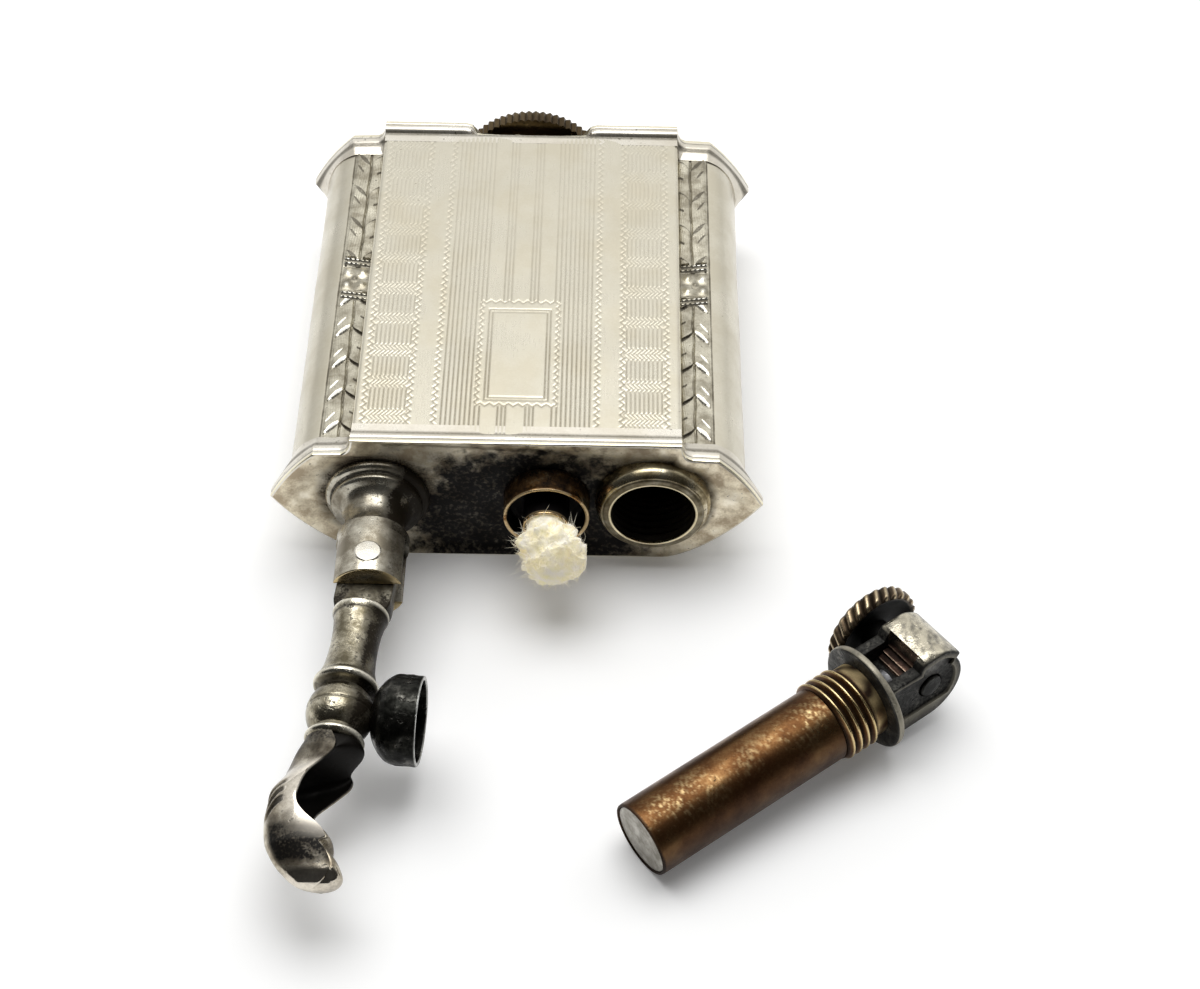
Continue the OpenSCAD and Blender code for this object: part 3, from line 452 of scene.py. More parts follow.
def leaf_band(across, y):
    """Height of the band's relief, and its brightened and its darkened places, which hold painted
    highlight and painted shade as well as cuts, for the share across the band (0 by the panel)
    and the place along it."""
    # The leaves: domed between stem and edge, each rising over the next.
    far = y > 1.15
    run = np.where(far, (y - 3.3) * leaf_step / 4.5, -1.0 - y)
    outer = across > stem
    q = np.clip(np.where(outer, (across - stem) / (0.88 - stem), (stem - across) / stem), 0, 1.3)
    edge = np.where(outer, 1.75 * np.clip(q, 0, 1) ** 0.62, 1.35 * np.clip(q, 0, 1) ** 0.42)
    phase = (run - edge + 0.25) / leaf_step
    leaf = phase - np.floor(phase)
    dome = np.clip(np.sin(np.pi * np.clip(0.10 + 0.84 * q, 0, 1)), 0, 1) ** 0.6
    height = 0.25 * (0.22 + 0.78 * leaf ** 1.1) * (0.30 + 0.70 * dome)
    height -= 0.14 * cut(across - stem - 0.02 * np.sin(run * 2 * np.pi / leaf_step), 0.05)
    height -= 0.02 * cut(zigzag(q * 3.2 + 0.9 * leaf), 0.55) * (leaf < 0.88)
    # Cuts along the leaves' edges: a painted highlight on the near half of the band and painted
    # shade on the far one.
    taper = np.clip(np.sin(np.pi * np.clip((q - 0.04) / 0.94, 0, 1)), 0, 1) ** 0.7
    short = np.clip(np.sin(np.pi * np.clip((q - 0.42) / 0.56, 0, 1)), 0, 1) ** 0.7
    main = outer & (leaf > 1 - 0.125 * taper) & (q > 0.06) & (q < 0.97)
    lobe = outer & (np.abs(leaf - 0.60 - 0.16 * (q - 0.7)) < 0.042 * short)
    height = height - 0.06 * main - 0.04 * lobe
    worn = np.where((main | lobe) & ~far, 1.0, 0.0)
    hook = ~outer & ((leaf < 0.075 * np.sqrt(q)) | (leaf > 1 - 0.02)) & (q > 0.03)
    tick = ~outer & (np.abs(leaf - 0.50) < 0.035) & (q > 0.55)
    dark = np.where(hook | tick, 0.95, 0.0)
    dark = np.maximum(dark, np.where(outer & (leaf < 0.05 * taper), 0.7, 0.0))
    dark = np.where(far & (main | lobe), 0.75, dark)
    dark = np.maximum(dark, 0.5 * cut(across - stem, 0.03))
    # The rosette of four petals, with a pair of slanting bars on each side of it.
    rosette = (y > -0.6) & (y < 2.9)
    a, b = (across - 0.5) * 2.2, (y - 1.15) / 1.6
    petals = np.exp(-((np.abs(a) - 0.52) ** 2 + (np.abs(b) - 0.5) ** 2) / 0.10)
    flower = 0.24 * petals + 0.2 * np.exp(-(a * a + b * b) / 0.03)
    flower = flower - 0.1 * cut(np.abs(b) - 1.0, 0.12)
    height = np.where(rosette, flower, height)
    worn = np.where(rosette, np.clip(petals - 0.55, 0, 1) * (a > 0), worn)
    dark = np.where(rosette, np.clip(0.5 - petals * 1.5, 0, 0.5), dark)
    slant = y - 0.45 * (across - 0.5)
    for low_y in (-1.05, 3.35):
        bars = cut(slant - low_y + 0.27, 0.22) + cut(slant - low_y - 0.27, 0.22)
        zone = np.abs(slant - low_y) < 0.55
        height = np.where(zone, 0.2 * bars, height)
        worn = np.where(zone, np.clip(bars * 1.4 - 0.7, 0, 1) * (across > 0.45), worn)
        dark = np.where(zone, np.clip(0.6 - bars, 0, 0.6), dark)
    rim = np.clip((0.91 - across) / 0.04, 0, 1) * np.clip(across / 0.04, 0, 1)
    border = cut(across - 0.965, 0.03)
    return height * rim - 0.06 * border, worn * rim, np.maximum(dark * rim, 0.75 * border)


band_nickel = metal("band_nickel", (0.26, 0.235, 0.18), (0.43, 0.40, 0.32), (0.60, 0.565, 0.46),
                    (0.055, 0.045, 0.03), (0.95, 0.93, 0.86), rough=(0.24, 0.40), patch=0.7,
                    grain=7.0, pits=0.36)
across, leaf_y = np.meshgrid(np.linspace(0, 1, 62), np.arange(-19.6, 19.61, 0.07))
relief, bright_cuts_and_highlight, dark_cuts_and_shade = leaf_band(across, leaf_y)
for name, side in (("leaf_band_right", 1), ("leaf_band_left", -1)):
    x = side * (band_in + (band_out - band_in) * across)
    z = band_z - 0.05 * across + relief - 0.12 * np.clip(across - 0.9, 0, 1)
    sheet = np.stack([x, leaf_y, z], -1)
    sheet[..., 2] += 0.02 * lumps(sheet, 2.5, 8)
    surface(name, [lidded(sheet, 0.25)], "case", band_nickel,
            marks={"low": [padded_mark(dark_cuts_and_shade)], "worn": [padded_mark(bright_cuts_and_highlight)]}, sharp=60)


# The top and base plates close the shell: pressed nickelled brass with a flared rim that
# overhangs the shell and a shallow dish. Petrol flames have blacked the top one by the wick.
socket_x, wick_x, post_x = 11.6, 2.55, -11.85
rim_line = case_outline(0, 0, thin=0, bulge=0.22, step=1.1)
body_line = case_outline(rim_over, panel_in, thin=0, bulge=0.8, step=0.2)


def end_plate(hole_x, hole_r, notch=0.0):
    """A plate as one closed surface round its hole, with its worn and tarnished places: down
    the hole, across the dish, up its long easy slope, over the rim, along the flare and back
    inside the shell. Drawn for the top end."""
    flat_x = np.abs(rim_line[:, 0])
    facing = rim_line[:, 1] > 12.2
    front = np.clip((14.6 - flat_x) / 0.8, 0, 1) * facing
    gap = notch * np.clip((5.8 - flat_x) / 0.7, 0, 1) * facing
    centre = np.array([hole_x, mid_z])
    aim = rim_line - centre
    reach = np.linalg.norm(aim, axis=1, keepdims=True)
    aim = aim / reach

    def dished(inset):
        """A row at a distance inside the rim's edge, as deep as the dish is there."""
        t = np.clip((inset - 0.55) / 3.0, 0, 1)
        deep = dish * t * t * (3 - 2 * t)
        row = rim_line - aim * inset
        return np.stack([row[:, 0], top_y + deep[:, 0], row[:, 1]], -1)

    ring = dished(reach - hole_r)
    rows = [ring * [1, 0, 1] + [0, top_seat + 1.2, 0], ring]
    rows += [dished(0.22 + (reach - hole_r - 0.22) * (1 - t) ** 2)
             for t in np.linspace(0.03, 1, 40)]
    floor_rows = len(rows)
    rows += [along_case(rim_line - aim * inset, top_y + deep)
             for inset, deep in ((0.1, 0.02), (0.03, 0.07), (0, 0.17))]
    edge = len(rows)
    # Down the flare: depth, and the share of the way in to the shell at the sides and in front.
    flare = ((0.42, 0.0, 0.0), (0.5, 0.035, 0.1), (0.58, 0.0, 0.0), (0.9, 0.0, 0.02),
             (1.08, 0.03, 0.15), (1.22, 0.10, 0.5), (1.32, 0.17, 0.93), (1.5, 0.30, 0.96),
             (1.75, 0.46, 0.97), (2.0, 0.63, 0.98), (2.25, 0.80, 0.985), (2.45, 0.93, 0.99))
    for deep, side_t, front_t in flare:
        t = (side_t + (front_t - side_t) * front)[:, None]
        rows.append(along_case(rim_line + (body_line - rim_line) * t, top_y + deep))
    inside = centre + (body_line - centre) * 0.96
    rows += [along_case(inside, top_y + 2.45), along_case(inside, top_seat + 1.2)]
    grid = np.stack(rows + rows[:1])
    outer = grid[..., 1] < top_y + rim_h - 0.02
    grid[..., 2] -= gap * outer * (grid[..., 2] > 12.9)
    floor = np.arange(len(grid))[:, None]
    grid[..., 1] += 0.02 * lumps(grid, 7.0, 21) * (floor > 0) * (floor < floor_rows - 8)
    worn, low = np.zeros(grid.shape[:2]), np.zeros(grid.shape[:2])
    worn[edge - 2:edge] = 0.8
    low[edge + 1] = 0.9
    low[edge + 5:edge + 8] = 0.7
    return grid, worn, low, floor_rows


def soot_patch(put, mm, noise, between, combine):
    """Soot on the plate: blackest round the wick, ragged at both ends, thinner on the rim."""
    spot = put("ShaderNodeMapping", {"Vector": mm, "Location": (-0.10, 0, -0.37),
                                     "Scale": (0.104, 0, 0.105)})
    far = put("ShaderNodeVectorMath", {0: spot}, "Value", operation="LENGTH")
    ragged = combine(far, combine(combine(noise(0.9, 7), 0.5, "SUBTRACT"), 1.1, "MULTIPLY"))
    cover = between(ragged, 0.90, 1.15, 1.0, 0.0)
    return combine(cover, between(noise(2.4, 7), 0.36, 0.50, 0.80, 1.0), "MULTIPLY")


sooted = metal("sooted_nickel", (0.46, 0.38, 0.27), (0.74, 0.66, 0.50), (0.90, 0.83, 0.68),
               (0.05, 0.035, 0.02), (0.92, 0.80, 0.55), rough=(0.30, 0.5), patch=0.5, grain=6.0,
               pits=0.36, soot=soot_patch)
plate, rim_worn, rim_low, floor_rows = end_plate(socket_x, 4.1)
rim_metal = metal("rim_nickel", (0.56, 0.52, 0.44), (0.66, 0.62, 0.54), (0.74, 0.705, 0.63),
                  (0.05, 0.04, 0.02), (0.86, 0.80, 0.58), rough=(0.24, 0.36), patch=0.16, grain=6.0,
                  brushed=(6, 0.3, 1))
# The dish is tarnished across its middle, less towards the front, and darker in a narrow
# ring round the arm's post and round the socket.
dished_x, dished_z = plate[:floor_rows, :, 0], plate[:floor_rows, :, 2]
dish_dark = 0.70 * np.clip((13.5 - np.abs(dished_x - 1.5)) / 4.5, 0, 1)
dish_dark -= 0.30 * np.clip((dished_z - 11.9) / 0.8, 0, 1)
near_foot = np.hypot(dished_x - post_x, dished_z - mid_z)
dish_dark = np.maximum(dish_dark, 0.9 * np.clip((5.6 - near_foot) / 0.9, 0, 1))
near_ring = np.hypot(dished_x - socket_x, dished_z - mid_z)
dish_dark = np.maximum(dish_dark, 0.85 * np.clip((5.7 - near_ring) / 0.7, 0, 1))
dish_dark = np.clip(dish_dark * (1 + 0.4 * lumps(plate[:floor_rows], 2.0, 22)), 0, 0.95)
surface("top_plate_dished", [plate[:floor_rows]], "case", sooted,
        marks={"low": [dish_dark]})
surface("top_plate_rim", [plate[floor_rows - 1:]], "case", rim_metal, ["top_plate"],
        marks={"worn": [rim_worn[floor_rows - 1:]], "low": [rim_low[floor_rows - 1:]]})
base, base_worn, base_low, _ = end_plate(0.0, 3.3, notch=1.3)
base[..., 1] *= -1
surface("base_plate_flared", [base], "case", rim_metal, ["base_plate"],
        marks={"worn": [base_worn], "low": [base_low]})


# The striker socket: a turned and threaded ring let into the top plate, dark with handling,
# that the loose striker unit screws into. Its thread shows just inside the mouth.
socket_r, socket_end, thread_pitch = 3.6, -17.0, 0.75


def soft(points, radius, n=5):
    """The broken line through the points with each corner turned into a short parabola that
    starts and ends a radius away from it."""
    p = np.asarray(points, float)
    a, b, c = p[:-2], p[1:-1], p[2:]

    def part_way(q):
        length = np.linalg.norm(q - b, axis=1, keepdims=True)
        return b + (q - b) * np.minimum(radius / np.maximum(length, 1e-9), 0.5)

    t = np.linspace(0, 1, n)[None, :, None]
    curve = (1 - t) ** 2 * part_way(a)[:, None] + 2 * t * (1 - t) * b[:, None]
    curve = curve + t ** 2 * part_way(c)[:, None]
    return np.concatenate([p[:1], curve.reshape(-1, p.shape[1]), p[-1:]])


def turned(profile, n=96):
    """A turned form: each point (radius, height) of the profile swung round the height's axis."""
    profile = np.asarray(profile, float)
    a = np.linspace(0, 2 * np.pi, n + 1)
    r, h = profile[:, :1], profile[:, 1:]
    return np.stack([r * np.cos(a), r * np.sin(a), h + 0 * a], -1)


def out_of_plate(grid, x):
    """Stands a turned form on the top plate's dish at x, its height towards -Y."""
    return grid @ np.array([[1, 0, 0], [0, 0, 1], [0, -1, 0]]) + [x, top_seat, mid_z]


def closed(profile):
    """A profile that comes back to its first point."""
    profile = np.asarray(profile, float)
    return np.concatenate([profile, profile[:1]])


dark_low, dark_worn = (0.018, 0.014, 0.009), (0.80, 0.77, 0.68)
ring_metal = metal("ring_brown", (0.15, 0.12, 0.065), (0.34, 0.285, 0.18), (0.60, 0.54, 0.40),
                   dark_low, (0.82, 0.72, 0.48), rough=(0.18, 0.34), patch=0.6, grain=6.0)
deep = socket_end - top_seat
outside = soft([[4.93, -0.05], [4.95, 0.5], [4.84, 1.0], [4.6, 1.45], [4.38, 1.66], [4.28, 1.62],
                [4.18, 1.74], [3.9, 1.78], [3.72, 1.85], [3.6, 1.78]], 0.2)
lip_end = len(outside)
bore_h = np.linspace(1.78, -deep, 110)[1:]
socket_profile = closed(np.concatenate([
    outside, np.stack([np.full(len(bore_h), socket_r), bore_h], -1), [[4.1, -deep], [4.1, -0.05]]]))
ring_grid = turned(socket_profile)
turn_share = np.linspace(0, 1, ring_grid.shape[1])
inner = np.zeros(len(socket_profile), bool)
inner[lip_end + 6:lip_end + len(bore_h) - 2] = True
wave = 0.5 + 0.5 * zigzag(socket_profile[:, 1:] / thread_pitch + turn_share)
grow = 1 + inner[:, None] * 0.06 * wave
ring_grid[..., :2] *= grow[..., None]
ring_worn_and_highlight = np.zeros(ring_grid.shape[:2])
ring_worn_and_highlight[lip_end - 5:lip_end - 1] = 0.75
ring_low = np.zeros(ring_grid.shape[:2])
ring_low[lip_end - 22:lip_end - 6] = 0.5
# Down the bore the ring is painted black: painted shade inside the hole.
ring_low[lip_end + 3:] = 1.5
# The bead is brightened in patches all round: a painted highlight.
bead = (socket_profile[:, :1] > 4.75) & (socket_profile[:, 1:] > 0.2)
ring_worn_and_highlight = np.maximum(ring_worn_and_highlight, bead * np.clip(0.45 + 0.5 * lumps(ring_grid, 2.5, 32), 0, 0.8))
surface("striker_socket_ring", [out_of_plate(ring_grid, socket_x)], "case",
        ring_metal, ["striker_socket"], marks={"worn": [ring_worn_and_highlight], "low": [ring_low]})

# The well behind the socket is a plain cup drawn from thin brass, soldered to the ring out of
# sight and dark inside: it is painted near black all over, as painted shade.
well_painted_dark = metal("well_painted_dark", (0.03, 0.02, 0.01), (0.07, 0.05, 0.025), (0.12, 0.09, 0.05),
                   (0.01, 0.008, 0.006), (0.2, 0.15, 0.08), rough=(0.35, 0.55), patch=0.5)


def dress(node, material):
    """Gives a CAD piece that keeps its own shape a finished material."""
    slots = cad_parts[node].material_slots
    for held in slots:
        held.material = material
    if not slots:
        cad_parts[node].data.materials.append(material)


dress("striker_well", well_painted_dark)

# The wick guard is a thin drawn brass cup round the wick, blued and browned by the flame,
# darker towards the bottom and black inside, with soot and painted shade; the wick tube
# stands in its floor.
guard_h = 2.4
guard_profile = closed(soft([
    [1.95, 0.02], [3.72, 0.02], [3.66, 0.4], [3.62, 1.9], [3.69, 2.2], [3.6, 2.42], [3.36, 2.36],
    [3.26, 2.1], [3.24, 0.6], [2.9, 0.42], [1.95, 0.4]], 0.14))
guard_grid = turned(guard_profile)
guard_inside = (guard_profile[:, :1] < 3.4) & (guard_profile[:, 1:] < 2.3)
rim_zone = guard_profile[:, 1:] > 2.28
lobes = lumps(guard_grid, 2.2, 31)
# The outside darkens towards the bottom; inside it is black, soot and painted shade.
guard_low = np.clip(1.40 - 0.5 * guard_profile[:, 1:] + 0.8 * lobes, 0, 1)
guard_low = np.where(guard_inside, 1.6, guard_low)
guard_brass = metal("flame_brown_brass", (0.07, 0.035, 0.015), (0.33, 0.17, 0.06),
                    (0.60, 0.46, 0.27), (0.004, 0.003, 0.003), (0.78, 0.60, 0.34),
                    rough=(0.16, 0.36), patch=1.1, grain=7.0)
surface("wick_guard_cup", [out_of_plate(guard_grid, wick_x)], "case", guard_brass,
        ["wick_guard"],
        marks={"low": [guard_low], "worn": [np.where(rim_zone & (lobes > -0.5), 0.7, 0.0)]})
tube_top, tube_bottom = guard_h + 1.15, top_seat - inner_top - 1.4
tube_profile = closed(soft([
    [1.78, tube_bottom], [1.95, tube_bottom], [1.95, tube_top - 0.5], [1.98, tube_top - 0.12],
    [1.9, tube_top], [1.76, tube_top - 0.1], [1.75, tube_top - 0.6]], 0.06))
tube_grid = turned(tube_profile, 72)
# Below its rubbed top the tube is painted black: painted shade inside the guard.
tube_high = (tube_profile[:, 1:] > tube_top - 0.25) | np.zeros(tube_grid.shape[:2], bool)
surface("wick_tube_brass", [out_of_plate(tube_grid, wick_x)], "case", guard_brass,
        ["wick_tube"],
        marks={"low": [np.where(tube_high, 0.0, 1.7)], "worn": [np.where(tube_high, 0.6, 0.0)]})

# The wick is loosely twisted cotton, pulled out of its tube and frayed into a drooping mop:
# a lumpy core with more than a thousand fine curling fibres standing out of it.


def spotted(name, scale, detail, first, last):
    """A material on Object coordinates in millimetres, whose colour runs over soft spots of
    noise from the first to the last of two stops (place, colour)."""
    material, tree, put = paint(name)
    where = put("ShaderNodeTexCoord", out="Object")
    mm = put("ShaderNodeMapping", {"Vector": where, "Scale": (1000, 1000, 1000)})
    spots = put("ShaderNodeTexNoise", {"Vector": mm, "Scale": scale, "Detail": detail})
    ramp = tree.nodes.new("ShaderNodeValToRGB")
    for stop, (place, colour) in zip(ramp.color_ramp.elements, (first, last)):
        stop.position, stop.color = place, colour
    tree.links.new(spots, ramp.inputs[0])
    shader = tree.nodes["Principled BSDF"]
    tree.links.new(ramp.outputs[0], shader.inputs["Base Color"])
    return material, tree, put, shader, mm, spots


cotton, tree, put, shader, mm, _ = spotted("wick_cotton_glowing", 0.8, 6.0, (0.36, (1.0, 0.90, 0.62, 1)),
                                           (0.60, (1.0, 0.98, 0.88, 1)))
weave = put("ShaderNodeTexNoise", {"Vector": mm, "Scale": 5.0, "Detail": 4.0})
rough_cotton = put("ShaderNodeMapRange", {0: weave, 3: 0.75, 4: 1.0})
tree.links.new(rough_cotton, shader.inputs["Roughness"])
skin = put("ShaderNodeBump", {"Height": weave, "Strength": 1.0, "Distance": 0.0001})
tree.links.new(skin, shader.inputs["Normal"])
shader.inputs["Sheen Weight"].default_value = 0.3
# The cotton glows a little, wick and packing alike: painted light standing for the light scattered
# inside its fibres.
shader.inputs["Emission Color"].default_value = (1.0, 0.88, 0.62, 1)
shader.inputs["Emission Strength"].default_value = 0.20
shader.inputs["Subsurface Weight"].default_value = 0.5
shader.inputs["Subsurface Radius"].default_value = (1.0, 0.95, 0.8)
shader.inputs["Subsurface Scale"].default_value = 0.0012

# The mop leans to the right and droops a little. Its reach keeps it clear of the snuffer's wall.
wick_end, mouth = guard_h + 6.1, tube_top - 0.1
lean_x, lean_y = 0.85, -0.15
core_reach, fibre_reach = 3.5, 3.52


def hold_in(points, reach):
    """Draws points in, in place, so that none is further than the reach from the upright axis."""
    away = np.linalg.norm(points[..., :2], axis=-1, keepdims=True)
    points[..., :2] *= np.minimum(1, reach / np.maximum(away, 1e-6))


mop_rows, mop_cols = 130, 120
share = np.linspace(0, 1, mop_rows)[:, None]
around = np.linspace(0, 2 * np.pi, mop_cols + 1)[None, :]
height = mouth - 2.6 + (wick_end - mouth + 2.6) * share
spread = np.clip((height - mouth) / 3.1, 0, 1)
mop_r = 1.60 + 1.25 * np.sin(spread * np.pi / 2) ** 1.3
mop_r = mop_r * np.sqrt(np.clip(1 - np.clip((height - wick_end + 2.3) / 2.3, 0, 1) ** 2.2, 0, 1))
mop_r = mop_r * np.clip(share * 40, 0, 1)
mop = np.stack([mop_r * np.cos(around), mop_r * np.sin(around), height + 0 * around], -1)
loose = np.clip((height - mouth) / 1.3, 0, 1)
swell = 0.60 * lumps(mop, 2.3, 41) + 0.32 * lumps(mop, 0.9, 42) + 0.11 * lumps(mop, 0.35, 43)
mop[..., :2] *= (1 + loose * (swell - 0.1) / 2.4)[..., None]
mop[..., 2] += loose * 0.25 * lumps(mop, 1.1, 44) * np.clip((wick_end - height) / 2, 0, 1)
mop[..., 0] += lean_x * loose * spread
mop[..., 1] += lean_y * loose * spread
hold_in(mop, core_reach)

rng = np.random.default_rng(7)
fibres, first_root = 1300, 50
row = rng.integers(first_root, mop_rows - 2, fibres)
col = rng.integers(0, mop_cols, fibres)
root = mop[row, col]
out = root * [1, 1, 0] - [lean_x, lean_y, 0]
out /= np.linalg.norm(out, axis=1, keepdims=True) + 1e-6
lift = np.clip((root[:, 2:] - 6.2) / 1.8, 0, 1)
out = out * (1 - 0.6 * lift) + np.array([0, 0, 1.0]) * lift
drift = rng.normal(size=(fibres, 3)) * 0.9
length = rng.uniform(0.35, 1.15, (fibres, 1))
steps = np.linspace(0, 1, 7)[:, None, None]
curl = rng.normal(size=(fibres, 3)) * 0.55
line = root + out * (-0.12 + 0.45 * steps * length) + drift * steps ** 1.5 * length * 0.55
line = line + curl * np.sin(steps * np.pi * 1.4) * 0.22
hold_in(line, fibre_reach)
line[..., 2] = np.minimum(line[..., 2], wick_end + 0.1)
tangent = np.gradient(line, axis=0)
tangent /= np.linalg.norm(tangent, axis=-1, keepdims=True) + 1e-9
side_a = np.cross(tangent, [0.31, 0.52, 0.79])
side_a /= np.linalg.norm(side_a, axis=-1, keepdims=True) + 1e-9
side_b = np.cross(tangent, side_a)
ends = np.where((steps <= 0) | (steps >= 1), 0.0, 1.0)
thick = rng.uniform(0.016, 0.034, (fibres, 1)) * (1 - 0.75 * steps) * ends
ring = np.linspace(0, 2 * np.pi, 4)
strands = (line[:, :, None] + thick[:, :, None] * (side_a[:, :, None] * np.cos(ring)[:, None]
                                                    + side_b[:, :, None] * np.sin(ring)[:, None]))
wick_grids = [out_of_plate(mop, wick_x)]
wick_grids += [out_of_plate(strands[:, i], wick_x) for i in range(fibres)]
wick = surface("cotton_wick", wick_grids, "case", cotton, ["wick"], sharp=180)
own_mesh(wick)

# The case is filled with loose cotton packing that holds the petrol: one soft lump with a
# hollow for the striker well.
packing_top, packing_base = -16.1, 16.55
cavity = case_outline(rim_over, panel_in, thin=wall, bulge=0.8, step=0.2)
pack_line = np.stack([cavity[:, 0] * 0.965, mid_z + (cavity[:, 1] - mid_z) * 0.92], -1)
pack_aim = pack_line - [socket_x, mid_z]
hollow_r = 4.0
pack_hole = hollow_r * pack_aim / np.linalg.norm(pack_aim, axis=1, keepdims=True)
pack_hole = [socket_x, mid_z] + pack_hole


def pack_ring(t, y):
    """A ring on the packing's end, the share t of the way from its hollow to its outline."""
    return along_case(pack_hole + (pack_line - pack_hole) * t * 0.97, y)


hole_rows, side_rows, end_shares = 20, 60, (0.3, 0.6, 0.85, 1.0)
pack_rows = [along_case(pack_hole, y)
             for y in np.linspace(packing_base - 2, packing_top, hole_rows)]
pack_rows += [pack_ring(t, packing_top) for t in end_shares]
pack_rows += [along_case(pack_line, y)
              for y in np.linspace(packing_top + 0.5, packing_base - 0.5, side_rows)]
pack_rows += [pack_ring(t, packing_base) for t in end_shares[::-1]]
pack_grid = np.stack(pack_rows + pack_rows[:1])
pack_push = 0.22 * lumps(pack_grid, 3.0, 51) + 0.1 * lumps(pack_grid, 1.2, 52) - 0.25
# The lumps are full on its sides, half as high on its ends, and none in the hollow.
end_rows = len(end_shares)
pack_out = np.repeat([0, 0.5, 1, 0.5, 0], [hole_rows, end_rows, side_rows, end_rows, 1])[:, None]
pack_grid[..., 0] *= 1 + pack_out * pack_push * 0.02
pack_grid[..., 2] = mid_z + (pack_grid[..., 2] - mid_z) * (1 + pack_out * pack_push * 0.06)
packing = surface("cotton_packing_lump", [pack_grid], "case", cotton, ["cotton_packing"],
                  sharp=180)

# The arm post is a turned nickelled brass pillar riveted through the top plate: a two-step
# foot, a hollowed neck and a barrel that is slotted into two ears for the arm.
post_r, pin_h, slot_w = 3.05, 8.9, 2.3
slot_floor, ear_top = pin_h - 2.85, pin_h + 2.0
post_profile = np.concatenate([
    [[0, -1.5], [1.5, -1.5]],
    soft([[1.5, -0.1], [4.3, -0.02], [4.52, 0.3], [4.35, 0.72], [4.02, 0.84], [3.78, 0.95],
          [3.93, 1.2], [3.86, 1.55], [3.5, 1.74], [3.05, 1.95], [2.66, 2.6], [2.52, 3.5],
          [2.56, 4.3], [2.8, 4.85], [3.05, 5.12]], 0.3, 6),
    [[post_r, 5.2], [post_r, slot_floor], [0, slot_floor]]])


def slab(outline, low, high, bevel, steps=4):
    """A plate with the given closed outline between two heights, its edges rounded by the
    bevel and each face closed to a point in its middle."""
    edge = np.roll(outline[:-1], -1, 0) - np.roll(outline[:-1], 1, 0)
    length = np.maximum(np.linalg.norm(edge, axis=1, keepdims=True), 1e-9)
    inward = np.stack([-edge[:, 1], edge[:, 0]], -1) / length
    area = np.sum(outline[:-1, 0] * outline[1:, 1] - outline[1:, 0] * outline[:-1, 1])
    inward = np.concatenate([inward, inward[:1]]) * np.sign(area)
    a = np.linspace(0, np.pi / 2, steps)
    inset = bevel * (1 - np.sin(a))
    rise = bevel * (1 - np.cos(a))
    middle = np.broadcast_to(outline[:-1].mean(0), outline.shape)

    def level(line, h):
        return np.concatenate([line, np.full((len(line), 1), h)], 1)

    rows = [level(middle, low)]
    rows += [level(outline + inward * i, low + r) for i, r in zip(inset, rise)]
    rows += [level(outline + inward * i, high - r) for i, r in zip(inset[::-1], rise[::-1])]
    return np.stack(rows + [level(middle, high)])


ear_x = math.sqrt(post_r ** 2 - (slot_w / 2) ** 2)
arc_from = math.asin((slot_w / 2 + 0.14) / post_r)
arc = np.linspace(arc_from, np.pi - arc_from, 49)
ear_arc = post_r * np.stack([np.cos(arc), np.sin(arc)], -1)
flat_in = [ear_x - 0.16, slot_w / 2]
ear_outline = np.concatenate([
    ear_arc, bow(ear_arc[-1], [-ear_x, slot_w / 2], [-flat_in[0], slot_w / 2], 6)[1:],
    np.linspace([-flat_in[0], slot_w / 2], flat_in, 14)[1:],
    bow(flat_in, [ear_x, slot_w / 2], ear_arc[0], 6)[1:]])
ear = slab(ear_outline, slot_floor, ear_top, 0.12)
ear[1:5, :, :2] = ear_outline
ear[1:5, :, 2] = slot_floor
lower_ear = ear * [1, -1, 1]
post_metal = metal("post_nickel", (0.20, 0.175, 0.13), (0.40, 0.37, 0.30), (0.60, 0.57, 0.48),
                   dark_low, (0.74, 0.56, 0.26), rough=(0.14, 0.30), patch=0.45, grain=6.0,
                   pits=0.40, bump=0.008)
post_grid = turned(post_profile)


def painted_shade_round(swing):
    """Painted shade round a turned part's girth, at angles from its right side over its
    top: full on the right and below, none on the upper left, a little on the lower left."""
    return np.clip(np.maximum((np.cos(swing + 0.35) + 0.12) * 2.2, -0.5 * np.sin(swing)), 0, 1)


# The pillar's right side and underside carry painted shade, heavier on the foot, where it also
# stands for soot, and the ears carry it too, the lower ear more; the whole pillar is lightly
# tarnished, the step round the foot is painted dark as shade, and the ears' ends are rubbed.
foot_zone = (post_profile[:, 1:] < 5.0) & (post_profile[:, :1] > 1.6)
foot_step_shade = np.where(np.abs(post_profile[:, 1:] - 0.93) < 0.09, 0.9, 0)
post_swing = np.linspace(0, 2 * np.pi, post_grid.shape[1])
post_low = np.where(foot_zone, 1.5, 0.95) * painted_shade_round(post_swing)
post_low = post_low * np.clip(0.9 + 0.5 * lumps(post_grid, 1.6, 24), 0, 1) + 0.12
post_low = np.maximum(post_low, foot_step_shade)
post_worn = np.zeros(post_grid.shape[:2])
ear_low = painted_shade_round(np.arctan2(ear[..., 1], ear[..., 0])) * 0.75
ear_low[-1:] = 0.85
ear_worn = np.zeros(ear.shape[:2])
ear_worn[-4:-1] = 0.55
surface("arm_post_pillar", [out_of_plate(g, post_x) for g in (post_grid, ear, lower_ear)], "case",
        post_metal, ["arm_post"], sharp=32,
        marks={"low": [post_low, ear_low, np.maximum(ear_low, 0.6)],
               "worn": [post_worn, ear_worn, ear_worn]})

